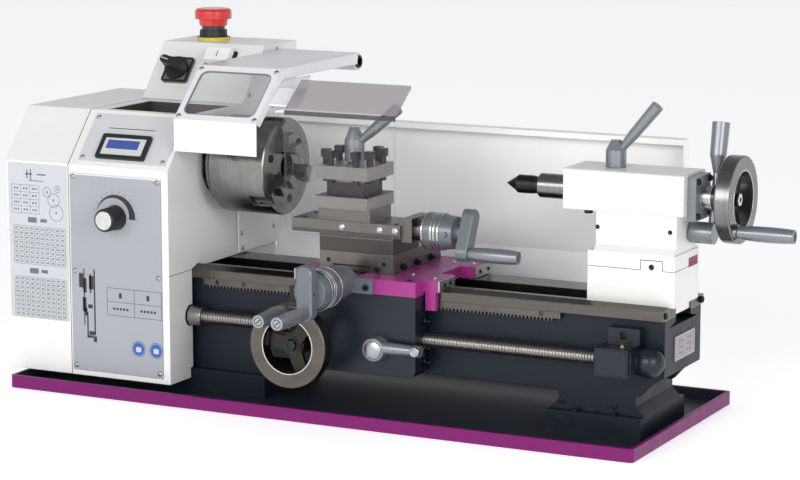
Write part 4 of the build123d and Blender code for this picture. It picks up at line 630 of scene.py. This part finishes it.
def grid(bm, where, x0, x1, z0, z1, columns, rows, line=0.35, high=0.14):
    """Printed table lines."""
    for i in range(columns + 1):
        x = x0 + (x1 - x0) * i / columns
        bar(bm, where, x - line / 2, x + line / 2, z0, z1, 0.0, high)
    for i in range(rows + 1):
        z = z0 + (z1 - z0) * i / rows
        bar(bm, where, x0, x1, z - line / 2, z + line / 2, 0.0, high * 0.9)


def cell_marks(bm, where, x0, x1, z0, z1, columns, rows, draw, high=0.12):
    """Plain strokes standing in for the figures of a table, a few to each cell."""
    for column in range(columns):
        for row in range(rows):
            cx = x0 + (x1 - x0) * (column + 0.5) / columns
            cz = z0 + (z1 - z0) * (row + 0.5) / rows
            reach = (x1 - x0) / columns * 0.3
            count = draw.choice((2, 3, 3, 4))
            for k in range(count):
                mid = cx + reach * (2 * (k + 0.5) / count - 1)
                half = reach / count * 0.6
                bar(bm, where, mid - half, mid + half, cz - 1.0, cz + 1.0, 0.0, high)


def table(bm, where, area, columns, rows, line=0.35, high=0.14, ink=0.12):
    """Printed table: its lines, and marks in every cell."""
    grid(bm, where, *area, columns, rows, line, high)
    cell_marks(bm, where, *area, columns, rows, draw, ink)


draw = random.Random(7)
SPEED_AT = (-62.0, 185.0)
PRINT = 0.14                # how far printed marks stand above their plate
bm = bmesh.new()
arc_band(bm, plate_front, SPEED_AT, 23.5, (0.4, 7.5), (165, -3), 0.0, PRINT)
for tick in range(11):
    turn = Matrix.Rotation(math.radians(165 - 16.8 * tick), 4, "Z")
    spoke = plate_front @ Matrix.Translation((*SPEED_AT, 0)) @ turn
    bar(bm, spoke, 25.0, 27.0, -0.2, 0.2, 0.0, PRINT)
grid(bm, plate_front, -74, -8.8, 83, 111.5, 2, 2)
for mid_x in (-58, -25):
    bar(bm, plate_front, mid_x - 1.6, mid_x + 1.6, 101.5, 107, 0.0, PRINT)
    for k in range(5):
        bar(bm, plate_front, mid_x - 9 + 4 * k, mid_x - 6.6 + 4 * k, 89, 91.4, 0.0, PRINT)
# belt and gear diagram
for x0, x1, z0, z1 in (
        (-102.5, -101.3, 70, 129), (-90.2, -88.6, 60, 129), (-108, -103, 109, 124),
        (-103, -99, 104, 119), (-96, -90.5, 108, 122), (-95, -93.5, 104, 124), (-104, -99.5, 84, 99),
        (-101, -98.5, 80, 88), (-99, -97.4, 57, 84), (-96.6, -90, 60, 64), (-97.4, -92, 88, 92),
        (-99, -92, 57, 59.4), (-91.5, -87.5, 53, 59)):
    bar(bm, plate_front, x0, x1, z0, z1, 0.0, PRINT)
bar(bm, SLOPE, -88, -32, 11.8, 12.6, 1.0, 1.14)
piece("panel_print", bm, "machine", "ink")
# gear cover tables
bm = bmesh.new()
table(bm, cover_front, (-190, -156, 181.5, 211), 3, 4)
table(bm, cover_front, (-188.4, -124.6, 128, 168), 10, 8, 0.3)
table(bm, cover_front, (-188.6, -124.6, 72.6, 114.5), 10, 9, 0.3)
for x0, x1, z0, z1 in (
        (-170.3, -159.5, 172, 177.5), (-169.4, -158.5, 118.5, 124), (-155, -147, 173, 176.5),
        (-155, -147, 119.6, 123), (-171, -169.6, 218, 227), (-166.6, -165.4, 216, 228),
        (-172.5, -163.6, 222, 223.4), (-158, -147, 222, 223.4), (-168, -150, 215.6, 216.4)):
    bar(bm, cover_front, x0, x1, z0, z1, 0.0, PRINT)
for x, z, radius in ((-146, 205, 5.2), (-138, 197, 7.4), (-135, 184, 8.6), (-133, 209, 3.6)):
    spot = cover_front @ Matrix.Translation((x, z, 0))
    ring(bm, spot, radius - 0.5, radius, 0.0, PRINT, 32)
    ring(bm, spot, 0.6, 1.3, 0.0, PRINT, 16)
piece("gear_label_print", bm, "machine", "faint_ink")

bm = bmesh.new()
prism(bm, cover_front, rounded(73, 163, 1.5, (-157.5, 152.5)), -0.05, 0.06)
piece("gear_label_plate", bm, "machine", "label")

# two blank round signs
SIGNS = [plate_front @ Matrix.Translation((x, 50.7, 0)) for x in (-37, -16)]
bm = bmesh.new()
for spot in SIGNS:
    lathe(bm, spot, [(0, -0.05), (8.2, -0.05), (8.2, 0.16), (7.9, 0.2), (0, 0.2)], 40)
piece("panel_discs", bm, "machine", "blue")
bm = bmesh.new()
for spot in SIGNS:
    ring(bm, spot, 7.0, 7.5, 0.2, 0.26, 40)
    prism(bm, spot, rounded(6.4, 5.4, 1.6, (0, -0.6)), 0.2, 0.26)
piece("panel_disc_marks", bm, "machine", "label")

# display: black bezel, pale field and the blue screen
DISPLAY = SLOPE @ Matrix.Translation((-60, -11, 0))
bm = bmesh.new()
frame_bars(bm, DISPLAY, 58.4, 29.4, 49, 20.5, 2.2, 0.9, 4.1)
piece("display_bezel", bm, "machine", "black")
bm = bmesh.new()
prism(bm, DISPLAY, rounded(38, 10.4, 0.8, (-1.5, 2.4)), 3.45, 3.66)
piece("display_screen", bm, "machine", "screen")

# speed control: bright cap and the ribbed skirt of the knob
bm = bmesh.new()
KNOB = frame_at((SPEED_AT[0], -124.0, SPEED_AT[1]), FRONT)
lathe(bm, KNOB, [(0, 0.15), (9.2, 0.15), (9.8, -0.3), (9.8, -1.0), (0, -1.0)], 48)
piece("speed_knob_cap", bm, "speed_dial", "bright")
bm = bmesh.new()
for tooth in range(28):
    rib = KNOB @ Matrix.Rotation(2 * math.pi * tooth / 28, 4, "Z")
    prism(bm, rib, [(10.9, -0.75), (11.95, -0.35), (11.95, 0.35), (10.9, 0.75)], -15.5, -1.6)
piece("speed_knob_ribs", bm, "speed_dial", "black")

# -------- control box and guard

BOX = frame_at((0, 75, 316.85), (0, -57.3, 48))
bm = bmesh.new()
KNOB_U, KNOB_V, BUTTON_U, BUTTON_V = -92.0, -1.0, -46.0, 17.0
frame_bars(bm, BOX, 31.4, 31.4, 26.5, 26.5, 3.2, 3.0, 4.25, (KNOB_U, KNOB_V))
frame_bars(bm, BOX, 35.4, 20.4, 29, 15.6, 2.2, 0.4, 1.5, (BUTTON_U, BUTTON_V))
piece("switch_frames", bm, "machine", "black")
bm = bmesh.new()
bar(bm, BOX, BUTTON_U - 0.5, BUTTON_U + 0.5, BUTTON_V - 3.6, BUTTON_V + 3.6, 11.15, 11.3)
piece("start_mark", bm, "start", "ink")
bm = bmesh.new()
lever = BOX @ Matrix.Translation((KNOB_U, KNOB_V, 20.4)) @ Matrix.Rotation(math.radians(-15), 4, "Z")
bar(bm, lever, -14.5, -5, -0.6, 0.6, -0.1, 0.2)
piece("selector_mark", bm, "selector", "label")

bm = bmesh.new()
box_top = limit("control_box", 2, 1)
E_STOP = (-84.0, 134.0)
collar = frame_at((E_STOP[0], E_STOP[1], box_top), Z)
ring(bm, collar, 14.4, 14.9, 9.6, 10.6)
for tooth in range(24):
    rib = collar @ Matrix.Rotation(2 * math.pi * tooth / 24, 4, "Z")
    bar(bm, rib, 14.3, 14.85, -0.5, 0.5, 3.6, 9.0)
piece("stop_collar_ribs", bm, "machine", "black")

bm = bmesh.new()
for x, normal in ((0, RIGHT), (limit("control_box", 0, 0), LEFT)):
    for y, z in ((125, 339.6), (125, 296), (66, 296)):
        panel_screw(bm, frame_at((x, y, z), normal), 2.6, 1.1)
piece("box_screws", bm, "machine", "screw_metal")

GUARD = frame_at((50.5, -65.4, 313.55), (0, -49.5, 52.8))
bm = bmesh.new()
for u in (-43.6, 43.6):
    for v in (-31.4, 31.4):
        panel_screw(bm, GUARD @ Matrix.Translation((u, v, 0)), 2.7, 1.3)
SIDE_X = 95.0
for y, z in ((-56, 304), (-38, 306)):
    socket_screw(bm, frame_at((SIDE_X, y, z), RIGHT), 2.6, 2.2)
piece("guard_screws", bm, "guard", "screw_metal")
bm = bmesh.new()
frame_bars(bm, GUARD, 82.6, 57.6, 80.6, 55.6, 8.3, -1.45, 0.12, inner_radius=7.4)
piece("window_gasket", bm, "guard", "gasket")

# -------- chuck

bm = bmesh.new()
ring(bm, SPINDLE, 49.4, 50.0, 28.2, 28.9, 96)
ring(bm, SPINDLE, 43.4, 44.05, 13.2, 14.2, 96)
piece("chuck_grooves", bm, "spindle_unit", "shadow_steel")
bm = bmesh.new()
ring(bm, SPINDLE, 13.0, 15.2, 80.6, 81.25, 48)
ring(bm, SPINDLE, 27.2, 27.8, 80.6, 81.1, 72)
ring(bm, SPINDLE, 40.4, 41.0, 80.6, 81.1, 72)
piece("chuck_face_rings", bm, "spindle_unit", "chuck")
bm = bmesh.new()
for key_angle in (160, 280, 40):
    around = Matrix.Rotation(math.radians(key_angle), 4, "X")
    out = Matrix.Translation((48, 0, 234)) @ around @ frame_at((0, 48.9, 0), Y)
    ring(bm, out, 5.8, 7.6, 0.0, 0.75, 32)
    ring(bm, out, 4.4, 5.5, -6.0, -0.6, 24)
piece("chuck_key_sockets", bm, "spindle_unit", "chuck")
bm = bmesh.new()
for turn in (40, 160, 280):
    angle = math.radians(turn)
    socket_screw(bm, frame_at((81, 34 * math.cos(angle), 234 + 34 * math.sin(angle)), RIGHT), 4.2, 0.9)
piece("chuck_face_screws", bm, "spindle_unit", "black_metal")
for number, jaw_angle in enumerate((100, 220, 340), start=1):
    bm = bmesh.new()
    turn = Matrix.Translation((0, 0, 234)) @ Matrix.Rotation(math.radians(jaw_angle), 4, "X")
    for r0, x0, x1 in ((45.9, 82, 84.4), (34.9, 86, 90.4), (23.9, 92, 96.4)):
        bar(bm, turn @ frame_at((0, r0, 0), Y, X), x0, x1, -6.4, 6.4, -0.3, 0.15)
    for k in range(5):
        bar(bm, turn @ frame_at((0, 16 + 1.6 * k, 0), Y, X), 92, 96.6, -6.62, 6.62, -0.25, 0.25)
    piece(f"chuck_jaw_{number}_lands", bm, f"jaw_{number}", "jaw")

# -------- headstock side, splash guard, bed

bm = bmesh.new()
side = frame_at((0, 0, 0), RIGHT)
bar(bm, side, -99.6, -56.2, 128.6, 129.2, -0.02, 0.05)
piece("side_seam", bm, "machine", "shadow")
# joint between gear cover and headstock cover, over front, slope and roof
bm = bmesh.new()
SEAM_X0, SEAM_X1 = -119.75, -119.05
seam = frame_at((-119.4, 0, 0), RIGHT)
bar(bm, frame_at((0, -100, 0), FRONT), SEAM_X0, SEAM_X1, 17, 236, 0.0, 0.06)
prism(bm, seam, [(-100.0, 236.0), (-55.0, 288.0), (-55.05, 288.05), (-100.05, 236.05)], -0.35, 0.35)
bar(bm, frame_at((0, 0, 288), Z, X), SEAM_X0, SEAM_X1, -55, 74, 0.0, 0.06)
piece("cover_seam", bm, "machine", "shadow")
bm = bmesh.new()
for y, z in ((42, 152), (44, 136), (70, 262), (110, 262), (110, 150)):
    panel_screw(bm, frame_at((2.5, y, z), RIGHT), 2.5, 1.2)
splash_x1 = limit("splash_guard", 0, 1)
for y, z in ((120, 262), (120, 160)):
    panel_screw(bm, frame_at((splash_x1 - 0.9, y, z), RIGHT), 2.4, 0.8)
back_y = limit("splash_guard", 1, 1)
for x in (20, 160, 310, 450):
    for z in (160, 255):
        panel_screw(bm, frame_at((x, back_y, z), BACK), 2.8, 1.3)
head_back = limit("headstock_cover", 1, 1)
for x in (-190, -126, -112, -8):
    for z in (30, 150, 275):
        panel_screw(bm, frame_at((x, head_back, z), BACK), 2.6, 1.2)
gear_left = limit("gear_cover", 0, 0)
for y in (-90, 110):
    for z in (30, 225):
        panel_screw(bm, frame_at((gear_left + 1.15, y, z), LEFT), 2.6, 1.2)
piece("cover_screws", bm, "machine", "screw_metal")

# vents in the back of the headstock: bent louvres over the motor
louvres = [frame_at((-60, head_back, 130 + 12 * row), BACK, LEFT) for row in range(9)]
bm = bmesh.new()
for louvre in louvres:
    prism(bm, louvre @ Matrix.Rotation(math.pi / 2, 4, "Y") @ Matrix.Translation((0, 0, -34)),
          [(-0.05, 0), (-3.4, 0.2), (-3.0, 1.2), (-0.05, 5.4)], 0, 68)
piece("vent_louvres", bm, "machine", "white")
bm = bmesh.new()
for louvre in louvres:
    bar(bm, louvre, -33, 33, -1.6, 0.0, 0.02, 0.3)
piece("vent_shadows", bm, "machine", "shadow")
bm = bmesh.new()
ring(bm, frame_at((gear_left, 0, 234), LEFT), 15.4, 17.0, -1.8, -0.1, 48)
piece("spindle_hole_ring", bm, "machine", "black")

bm = bmesh.new()
for x, z in ((410, 33), (465, 33)):
    socket_screw(bm, frame_at((x, -48, z), FRONT), 2.4, 1.6)
socket_screw(bm, frame_at((478, -57.6, 106), FRONT), 3.9, 1.4)
socket_screw(bm, frame_at((515, 47, 125.5), RIGHT), 3.2, 3.0)
socket_screw(bm, frame_at((515, -47, 125.5), RIGHT), 3.2, 1.2)
for x in (-92, -52, 427, 467):
    for side_y in (-1, 1):
        hex_nut(bm, frame_at((x, side_y * 53.5, 26), Z), 3.2, 2.4, 1.2)
for x in (60, 170, 280, 390):
    socket_screw(bm, frame_at((x, limit("gear_rack", 1, 0) + 0.2, 118.2), FRONT), 2.2, 0.5)
piece("bed_screws", bm, "machine", "black_metal")
bm = bmesh.new()
nipple = frame_at((481, -71, 97), Z)
lathe(bm, nipple, [(0, -0.2), (2.6, -0.2), (2.6, 0.8), (1.7, 1.3), (1.6, 2.0), (0.9, 2.6), (0, 2.7)], 20)
piece("bearing_nipple", bm, "machine", "brass")
# right-hand screw bearing: shallow chamfered face plate
bm = bmesh.new()
prism(bm, frame_at((475, -84, 83.5), FRONT), rounded(31, 24, 2.0), -0.1, 0.7)
prism(bm, frame_at((492, -66, 83.5), RIGHT), rounded(30, 24, 2.0), -0.1, 1.8)
piece("bearing_faces", bm, "machine", "navy")

# folds pressed into the floor of the tray
bm = bmesh.new()
low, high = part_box("chip_tray")
FOLD_IN, FOLD_W = 13, 1.4
x0, x1 = low[0] / MM + FOLD_IN, high[0] / MM - FOLD_IN
y0, y1 = low[1] / MM + FOLD_IN, high[1] / MM - FOLD_IN
for sides in ((x0, x1, y0, y0 + FOLD_W), (x0, x1, y1 - FOLD_W, y1),
              (x0, x0 + FOLD_W, y0 + FOLD_W, y1 - FOLD_W), (x1 - FOLD_W, x1, y0 + FOLD_W, y1 - FOLD_W)):
    bar(bm, Matrix.Identity(4), *sides, 1.9, 2.5)
piece("tray_folds", bm, "machine", "tray_fold")

bm = bmesh.new()
end_plate = frame_at((limit("panel_plates", 0, 1), 4, 89), RIGHT)
table(bm, end_plate, (-22, 22, -9, 9), 2, 3, 0.4, 0.12, 0.1)
piece("end_plate_print", bm, "machine", "accent")

# -------- carriage

SADDLE_TOP = 142
bm = bmesh.new()
for x, z in ((268, 101), (268, 74), (268, 60)):
    stud(bm, frame_at((x, -62, z), RIGHT), (4.4, 3.0, 2.0), 2.1, 7.4, 1.6, 8.0)
for x, y in ((156, -72), (258, -72)):
    socket_screw(bm, frame_at((x, y, SADDLE_TOP), Z), 2.8, 0.6)
for x in (216, 162):
    socket_screw(bm, frame_at((x, -84, 133.5), FRONT), 3.0, 2.6)
for y in (-49, -37, 33, 52):
    socket_screw(bm, frame_at((285, y, 136), RIGHT), 1.9, 0.9)
    socket_screw(bm, frame_at((123, y, 136), LEFT), 1.9, 0.9)
piece("carriage_screws", bm, "carriage", "black_metal")
bm = bmesh.new()
for x, y in ((246, -40), (275, -50), (275, 40), (135, -40), (135, 45), (252, 40)):
    nipple = frame_at((x, y, SADDLE_TOP), Z)
    lathe(bm, nipple, [(0, -0.2), (1.9, -0.2), (1.9, 0.5), (1.2, 0.9), (0, 1.0)], 16)
piece("carriage_nipples", bm, "carriage", "bright")

bm = bmesh.new()
for y in (-31, 0, 32):
    stud(bm, frame_at((230, y, 147), RIGHT), (3.6, 2.0, 1.6), 1.7, 4.6, 1.2, 5.0)
for x in (158, 220):
    socket_screw(bm, frame_at((x, -53, 152), FRONT), 2.2, 0.5)
socket_screw(bm, frame_at((212.8, -53, 146.2), FRONT), 3.0, 2.4)
bar(bm, frame_at((0, -53, 0), FRONT), 163, 205, 147.2, 148.7, -0.1, 0.08)
piece("cross_slide_screws", bm, "cross_unit", "black_metal")

bm = bmesh.new()
for x in (174.3, 216.2, 233):
    stud(bm, frame_at((x, -54, 186.3), FRONT), (3.4, 1.8, 1.5), 1.6, 3.4, 1.2, 3.8)
piece("top_slide_gib_screws", bm, "top_unit", "bright")
bm = bmesh.new()
for x, y in ((125, -16), (128, -46), (226, -16), (231, -48)):
    socket_screw(bm, frame_at((x, y, 192), Z), 2.9, 0.7)
for y in (-44, -14):
    socket_screw(bm, frame_at((249, y, 193.5), RIGHT), 2.4, 1.6)
piece("top_slide_screws", bm, "top_unit", "black_metal")
# flat gib strip along the front of the top slide's dovetail
bm = bmesh.new()
prism(bm, frame_at((177.5, -54, 180.6), FRONT), rounded(120, 3.0, 0.6), -0.1, 0.35)
piece("top_slide_gib", bm, "top_unit", "slide_dark")


def dial(bm_rings, bm_marks, where, radius, low, high, count, tall):
    """Bright rims and engraved graduations of a dial; local z runs along its axis."""
    for a, b in ((low - 0.2, low + 1.1), (high - 1.1, high + 0.2)):
        ring(bm_rings, where, radius - 1.0, radius + 0.25, a, b, 64)
    for index in range(count):
        turn = where @ Matrix.Rotation(2 * math.pi * index / count, 4, "Z")
        length = tall if index % 5 == 0 else tall * 0.6
        bar(bm_marks, turn @ frame_at((radius, 0, 0), X, Y), -0.12, 0.12, low + 1.6, low + 1.6 + length,
            -0.1, 0.07)


CROSS_AXIS = frame_at((189, 0, 137.6), FRONT)
TOP_AXIS = frame_at((0, -33, 186), RIGHT)
for name, where, body, dials in (
        ("cross_dial", CROSS_AXIS, "cross_feed", ((20, 118.4, 131.6, 50, 4.2), (20, 134.0, 139.8, 1, 0.1))),
        ("top_dial", TOP_AXIS, "top_feed", ((18.5, 259.3, 270.0, 40, 3.6), (18.5, 272.5, 277.7, 1, 0.1)))):
    rims, marks = bmesh.new(), bmesh.new()
    for radius, low, high, count, tall in dials:
        dial(rims, marks, where, radius, low, high, count, tall)
    piece(f"{name}_rims", rims, body, "bright")
    piece(f"{name}_marks", marks, body, "ink")

bm = bmesh.new()
ring(bm, frame_at((284.5, -49.4, 186), FRONT), 0.01, 3.0, -0.4, 0.12, 24)
piece("top_crank_set_screw", bm, "top_feed", "shadow_steel")
bm = bmesh.new()
ring(bm, frame_at((197.5, -156, 137.6), RIGHT), 0.01, 1.4, -0.3, 0.12, 20)
piece("cross_crank_pin", bm, "cross_feed", "shadow_steel")

# screwed ends of the two grips at the front
for node, body in (("carriage_grip", "carriage_wheel_grip"), ("cross_grip", "cross_feed_grip")):
    low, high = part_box(node)
    end = frame_at(((low[0] + high[0]) / 2 / MM, low[1] / MM, (low[2] + high[2]) / 2 / MM), FRONT)
    caps, slots = bmesh.new(), bmesh.new()
    ring(caps, end, 4.4, 5.8, -0.4, 0.10, 40)
    ring(caps, end, 0.01, 3.5, -0.4, 0.06, 32)
    bar(slots, end @ Matrix.Rotation(0.7, 4, "Z"), -3.1, 3.1, -0.55, 0.55, -0.3, 0.12)
    ring(slots, end, 3.5, 4.1, -0.4, 0.05, 32)
    piece(f"{node}_end", caps, body, "handle_bright")
    piece(f"{node}_slot", slots, body, "shadow_steel")

bm = bmesh.new()
wheel_hub = frame_at((150, -116, 76), FRONT)
hex_nut(bm, wheel_hub, 6.4, 4.4, 3.0)
ring(bm, wheel_hub, 6.0, 8.6, 0.0, 0.8, 40)
lathe(bm, wheel_hub, [(0, 0.2), (3.0, 0.2), (3.0, 2.8), (2.5, 3.4), (0, 3.4)], 24)
piece("wheel_nut", bm, "carriage_wheel", "shadow_steel")
# bright ring along the rim's inner edge: painted highlight
bm = bmesh.new()
ring(bm, frame_at((150, -109, 76), FRONT), 27.4, 28.3, 15.2, 16.2, 72)
piece("wheel_rim_edge_highlight", bm, "carriage_wheel", "bright")

bm = bmesh.new()
knob = frame_at((228, -94, 74), FRONT)
lathe(bm, knob, [(0, -0.4), (9.6, -0.4), (9.0, 0.8), (7.0, 1.8), (4.0, 2.5), (0, 2.8)], 40)
lathe(bm, frame_at((273.5, -93.4, 76), FRONT),
      [(0, -3.4), (5.0, -3.4), (5.0, 0.4), (4.4, 1.0), (3.0, 1.0), (2.8, 0.5), (0, 0.5)], 28)
piece("feed_lever_caps", bm, "feed_lever", "handle_bright")

# -------- tailstock

bm = bmesh.new()
for x in (436, 510):
    lathe(bm, frame_at((x, -26, 202), FRONT),
          [(0, 0.05), (1.5, 0.05), (2.3, 0.12), (2.3, -0.5), (0, -0.5)], 20)
lathe(bm, frame_at((494, -32, 168.2), FRONT),
      [(0, -1.5), (2.5, -1.5), (2.5, -0.2), (2.9, 0.12), (2.9, -2.4), (0, -2.4)], 20)
lathe(bm, frame_at((422, -15, 218), (0, 0, -1)), [(0, -1), (4.2, -1), (4.2, 4.6), (3.6, 5.2), (0, 5.2)], 24)
for y in (-15.5, 15.5):
    for z in (217.5, 250.5):
        socket_screw(bm, frame_at((533, y, z), RIGHT), 3.0, 2.6)
piece("tailstock_screws", bm, "tailstock", "black_metal")
bm = bmesh.new()
front = frame_at((0, -32, 0), FRONT)
for sides in ((428.6, 483, 164.8, 165.3), (505, 517.4, 164.8, 165.3), (482.6, 505.4, 174.3, 174.8),
              (482.6, 483.1, 164.8, 174.8), (504.9, 505.4, 164.8, 174.8)):
    bar(bm, front, *sides, 0.0, 0.06)
bar(bm, frame_at((517.5, 0, 0), RIGHT), -31.9, 31.9, 164.8, 165.3, 0.0, 0.06)
piece("tailstock_seam", bm, "tailstock", "shadow")
rims, marks = bmesh.new(), bmesh.new()
dial(rims, marks, SPINDLE, 11.5, 533.4, 543.7, 40, 3.4)
piece("tail_barrel_rims", rims, "tailstock", "bright")
piece("tail_barrel_marks", marks, "tailstock", "ink")
bm = bmesh.new()
tail_right = frame_at((517.5, 17, 164), RIGHT)
prism(bm, tail_right, rounded(24, 9, 0.8, (0, 4.6)), -0.05, 0.25)
for index in range(9):
    bar(bm, tail_right, -10 + 2.4 * index, -9.5 + 2.4 * index, 1, 4 + (index % 4 == 0) * 2.5, 0.2, 0.4)
piece("tail_scale_plate", bm, "tailstock", "accent")
bm = bmesh.new()
scale = SPINDLE @ Matrix.Rotation(math.radians(12), 4, "Z") @ frame_at((12, 0, 0), X, Y)
for index in range(51):
    tall = 2.0 if index % 10 == 0 else (1.6 if index % 5 == 0 else 1.1)
    bar(bm, scale, -tall / 2, tall / 2, 368 + index, 368.2 + index, -0.1, 0.02)
piece("quill_scale", bm, "quill_unit", "ink")
bm = bmesh.new()
hex_nut(bm, frame_at((569, 0, 234), RIGHT), 6.4, 1.2, 3.0)
# bright ring along the rim's inner edge: painted highlight
ring(bm, SPINDLE, 27.4, 28.3, 572.2, 573.2, 72)
piece("tail_wheel_nut_and_rim_highlight", bm, "tail_wheel", "bright")

# -------- floor and light

floor_mesh = bpy.data.meshes.new("floor")
FLOOR_HALF, FLOOR_Z = 16, -0.0005
corners = ((-1, -1), (1, -1), (1, 1), (-1, 1))
floor_mesh.from_pydata([(FLOOR_HALF * x, FLOOR_HALF * y, FLOOR_Z) for x, y in corners], [], [(0, 1, 2, 3)])
floor = bpy.data.objects.new("floor", floor_mesh)
bpy.context.scene.collection.objects.link(floor)
floor_paint = Shader("floor_pale")
floor_tone = floor_paint.mix(floor_paint.noise(3.0), (0.93, 0.93, 0.93), (0.95, 0.95, 0.95))
floor_paint.surface(Base_Color=floor_tone, Roughness=0.6, Emission_Color=(1.0, 1.0, 1.0),
                    Emission_Strength=0.45)
floor_mesh.materials.append(floor_paint.material)

world = bpy.data.worlds.new("studio")
world.use_nodes = True
sky = world.node_tree
direction = sky.nodes.new("ShaderNodeTexCoord").outputs["Generated"]
height = sky.nodes.new("ShaderNodeSeparateXYZ")
sky.links.new(direction, height.inputs[0])
ramp = sky.nodes.new("ShaderNodeValToRGB")
ramp.color_ramp.elements[0].color = (1.0, 1.0, 1.0, 1.0)
ramp.color_ramp.elements[1].color = (0.30, 0.31, 0.33, 1.0)
ramp.color_ramp.elements[1].position = 0.8
sky.links.new(height.outputs["Z"], ramp.inputs[0])
sky.links.new(ramp.outputs[0], sky.nodes["Background"].inputs[0])
sky.nodes["Background"].inputs[1].default_value = 0.95
bpy.context.scene.world = world


def area_light(name, place, target, size, power):
    data = bpy.data.lights.new(name, "AREA")
    data.shape = "RECTANGLE"
    data.size, data.size_y = size
    data.energy = power
    light = bpy.data.objects.new(name, data)
    light.location = place
    light.rotation_euler = (Vector(target) - Vector(place)).to_track_quat("-Z", "Y").to_euler()
    bpy.context.scene.collection.objects.link(light)


area_light("key", (0.0, -2.8, 1.15), (0.15, 0.0, 0.2), (2.4, 1.2), 42.0)
area_light("side", (2.3, -1.5, 0.9), (0.25, 0.1, 0.2), (1.2, 1.2), 24.0)
bpy.context.scene.view_settings.view_transform = "Standard"
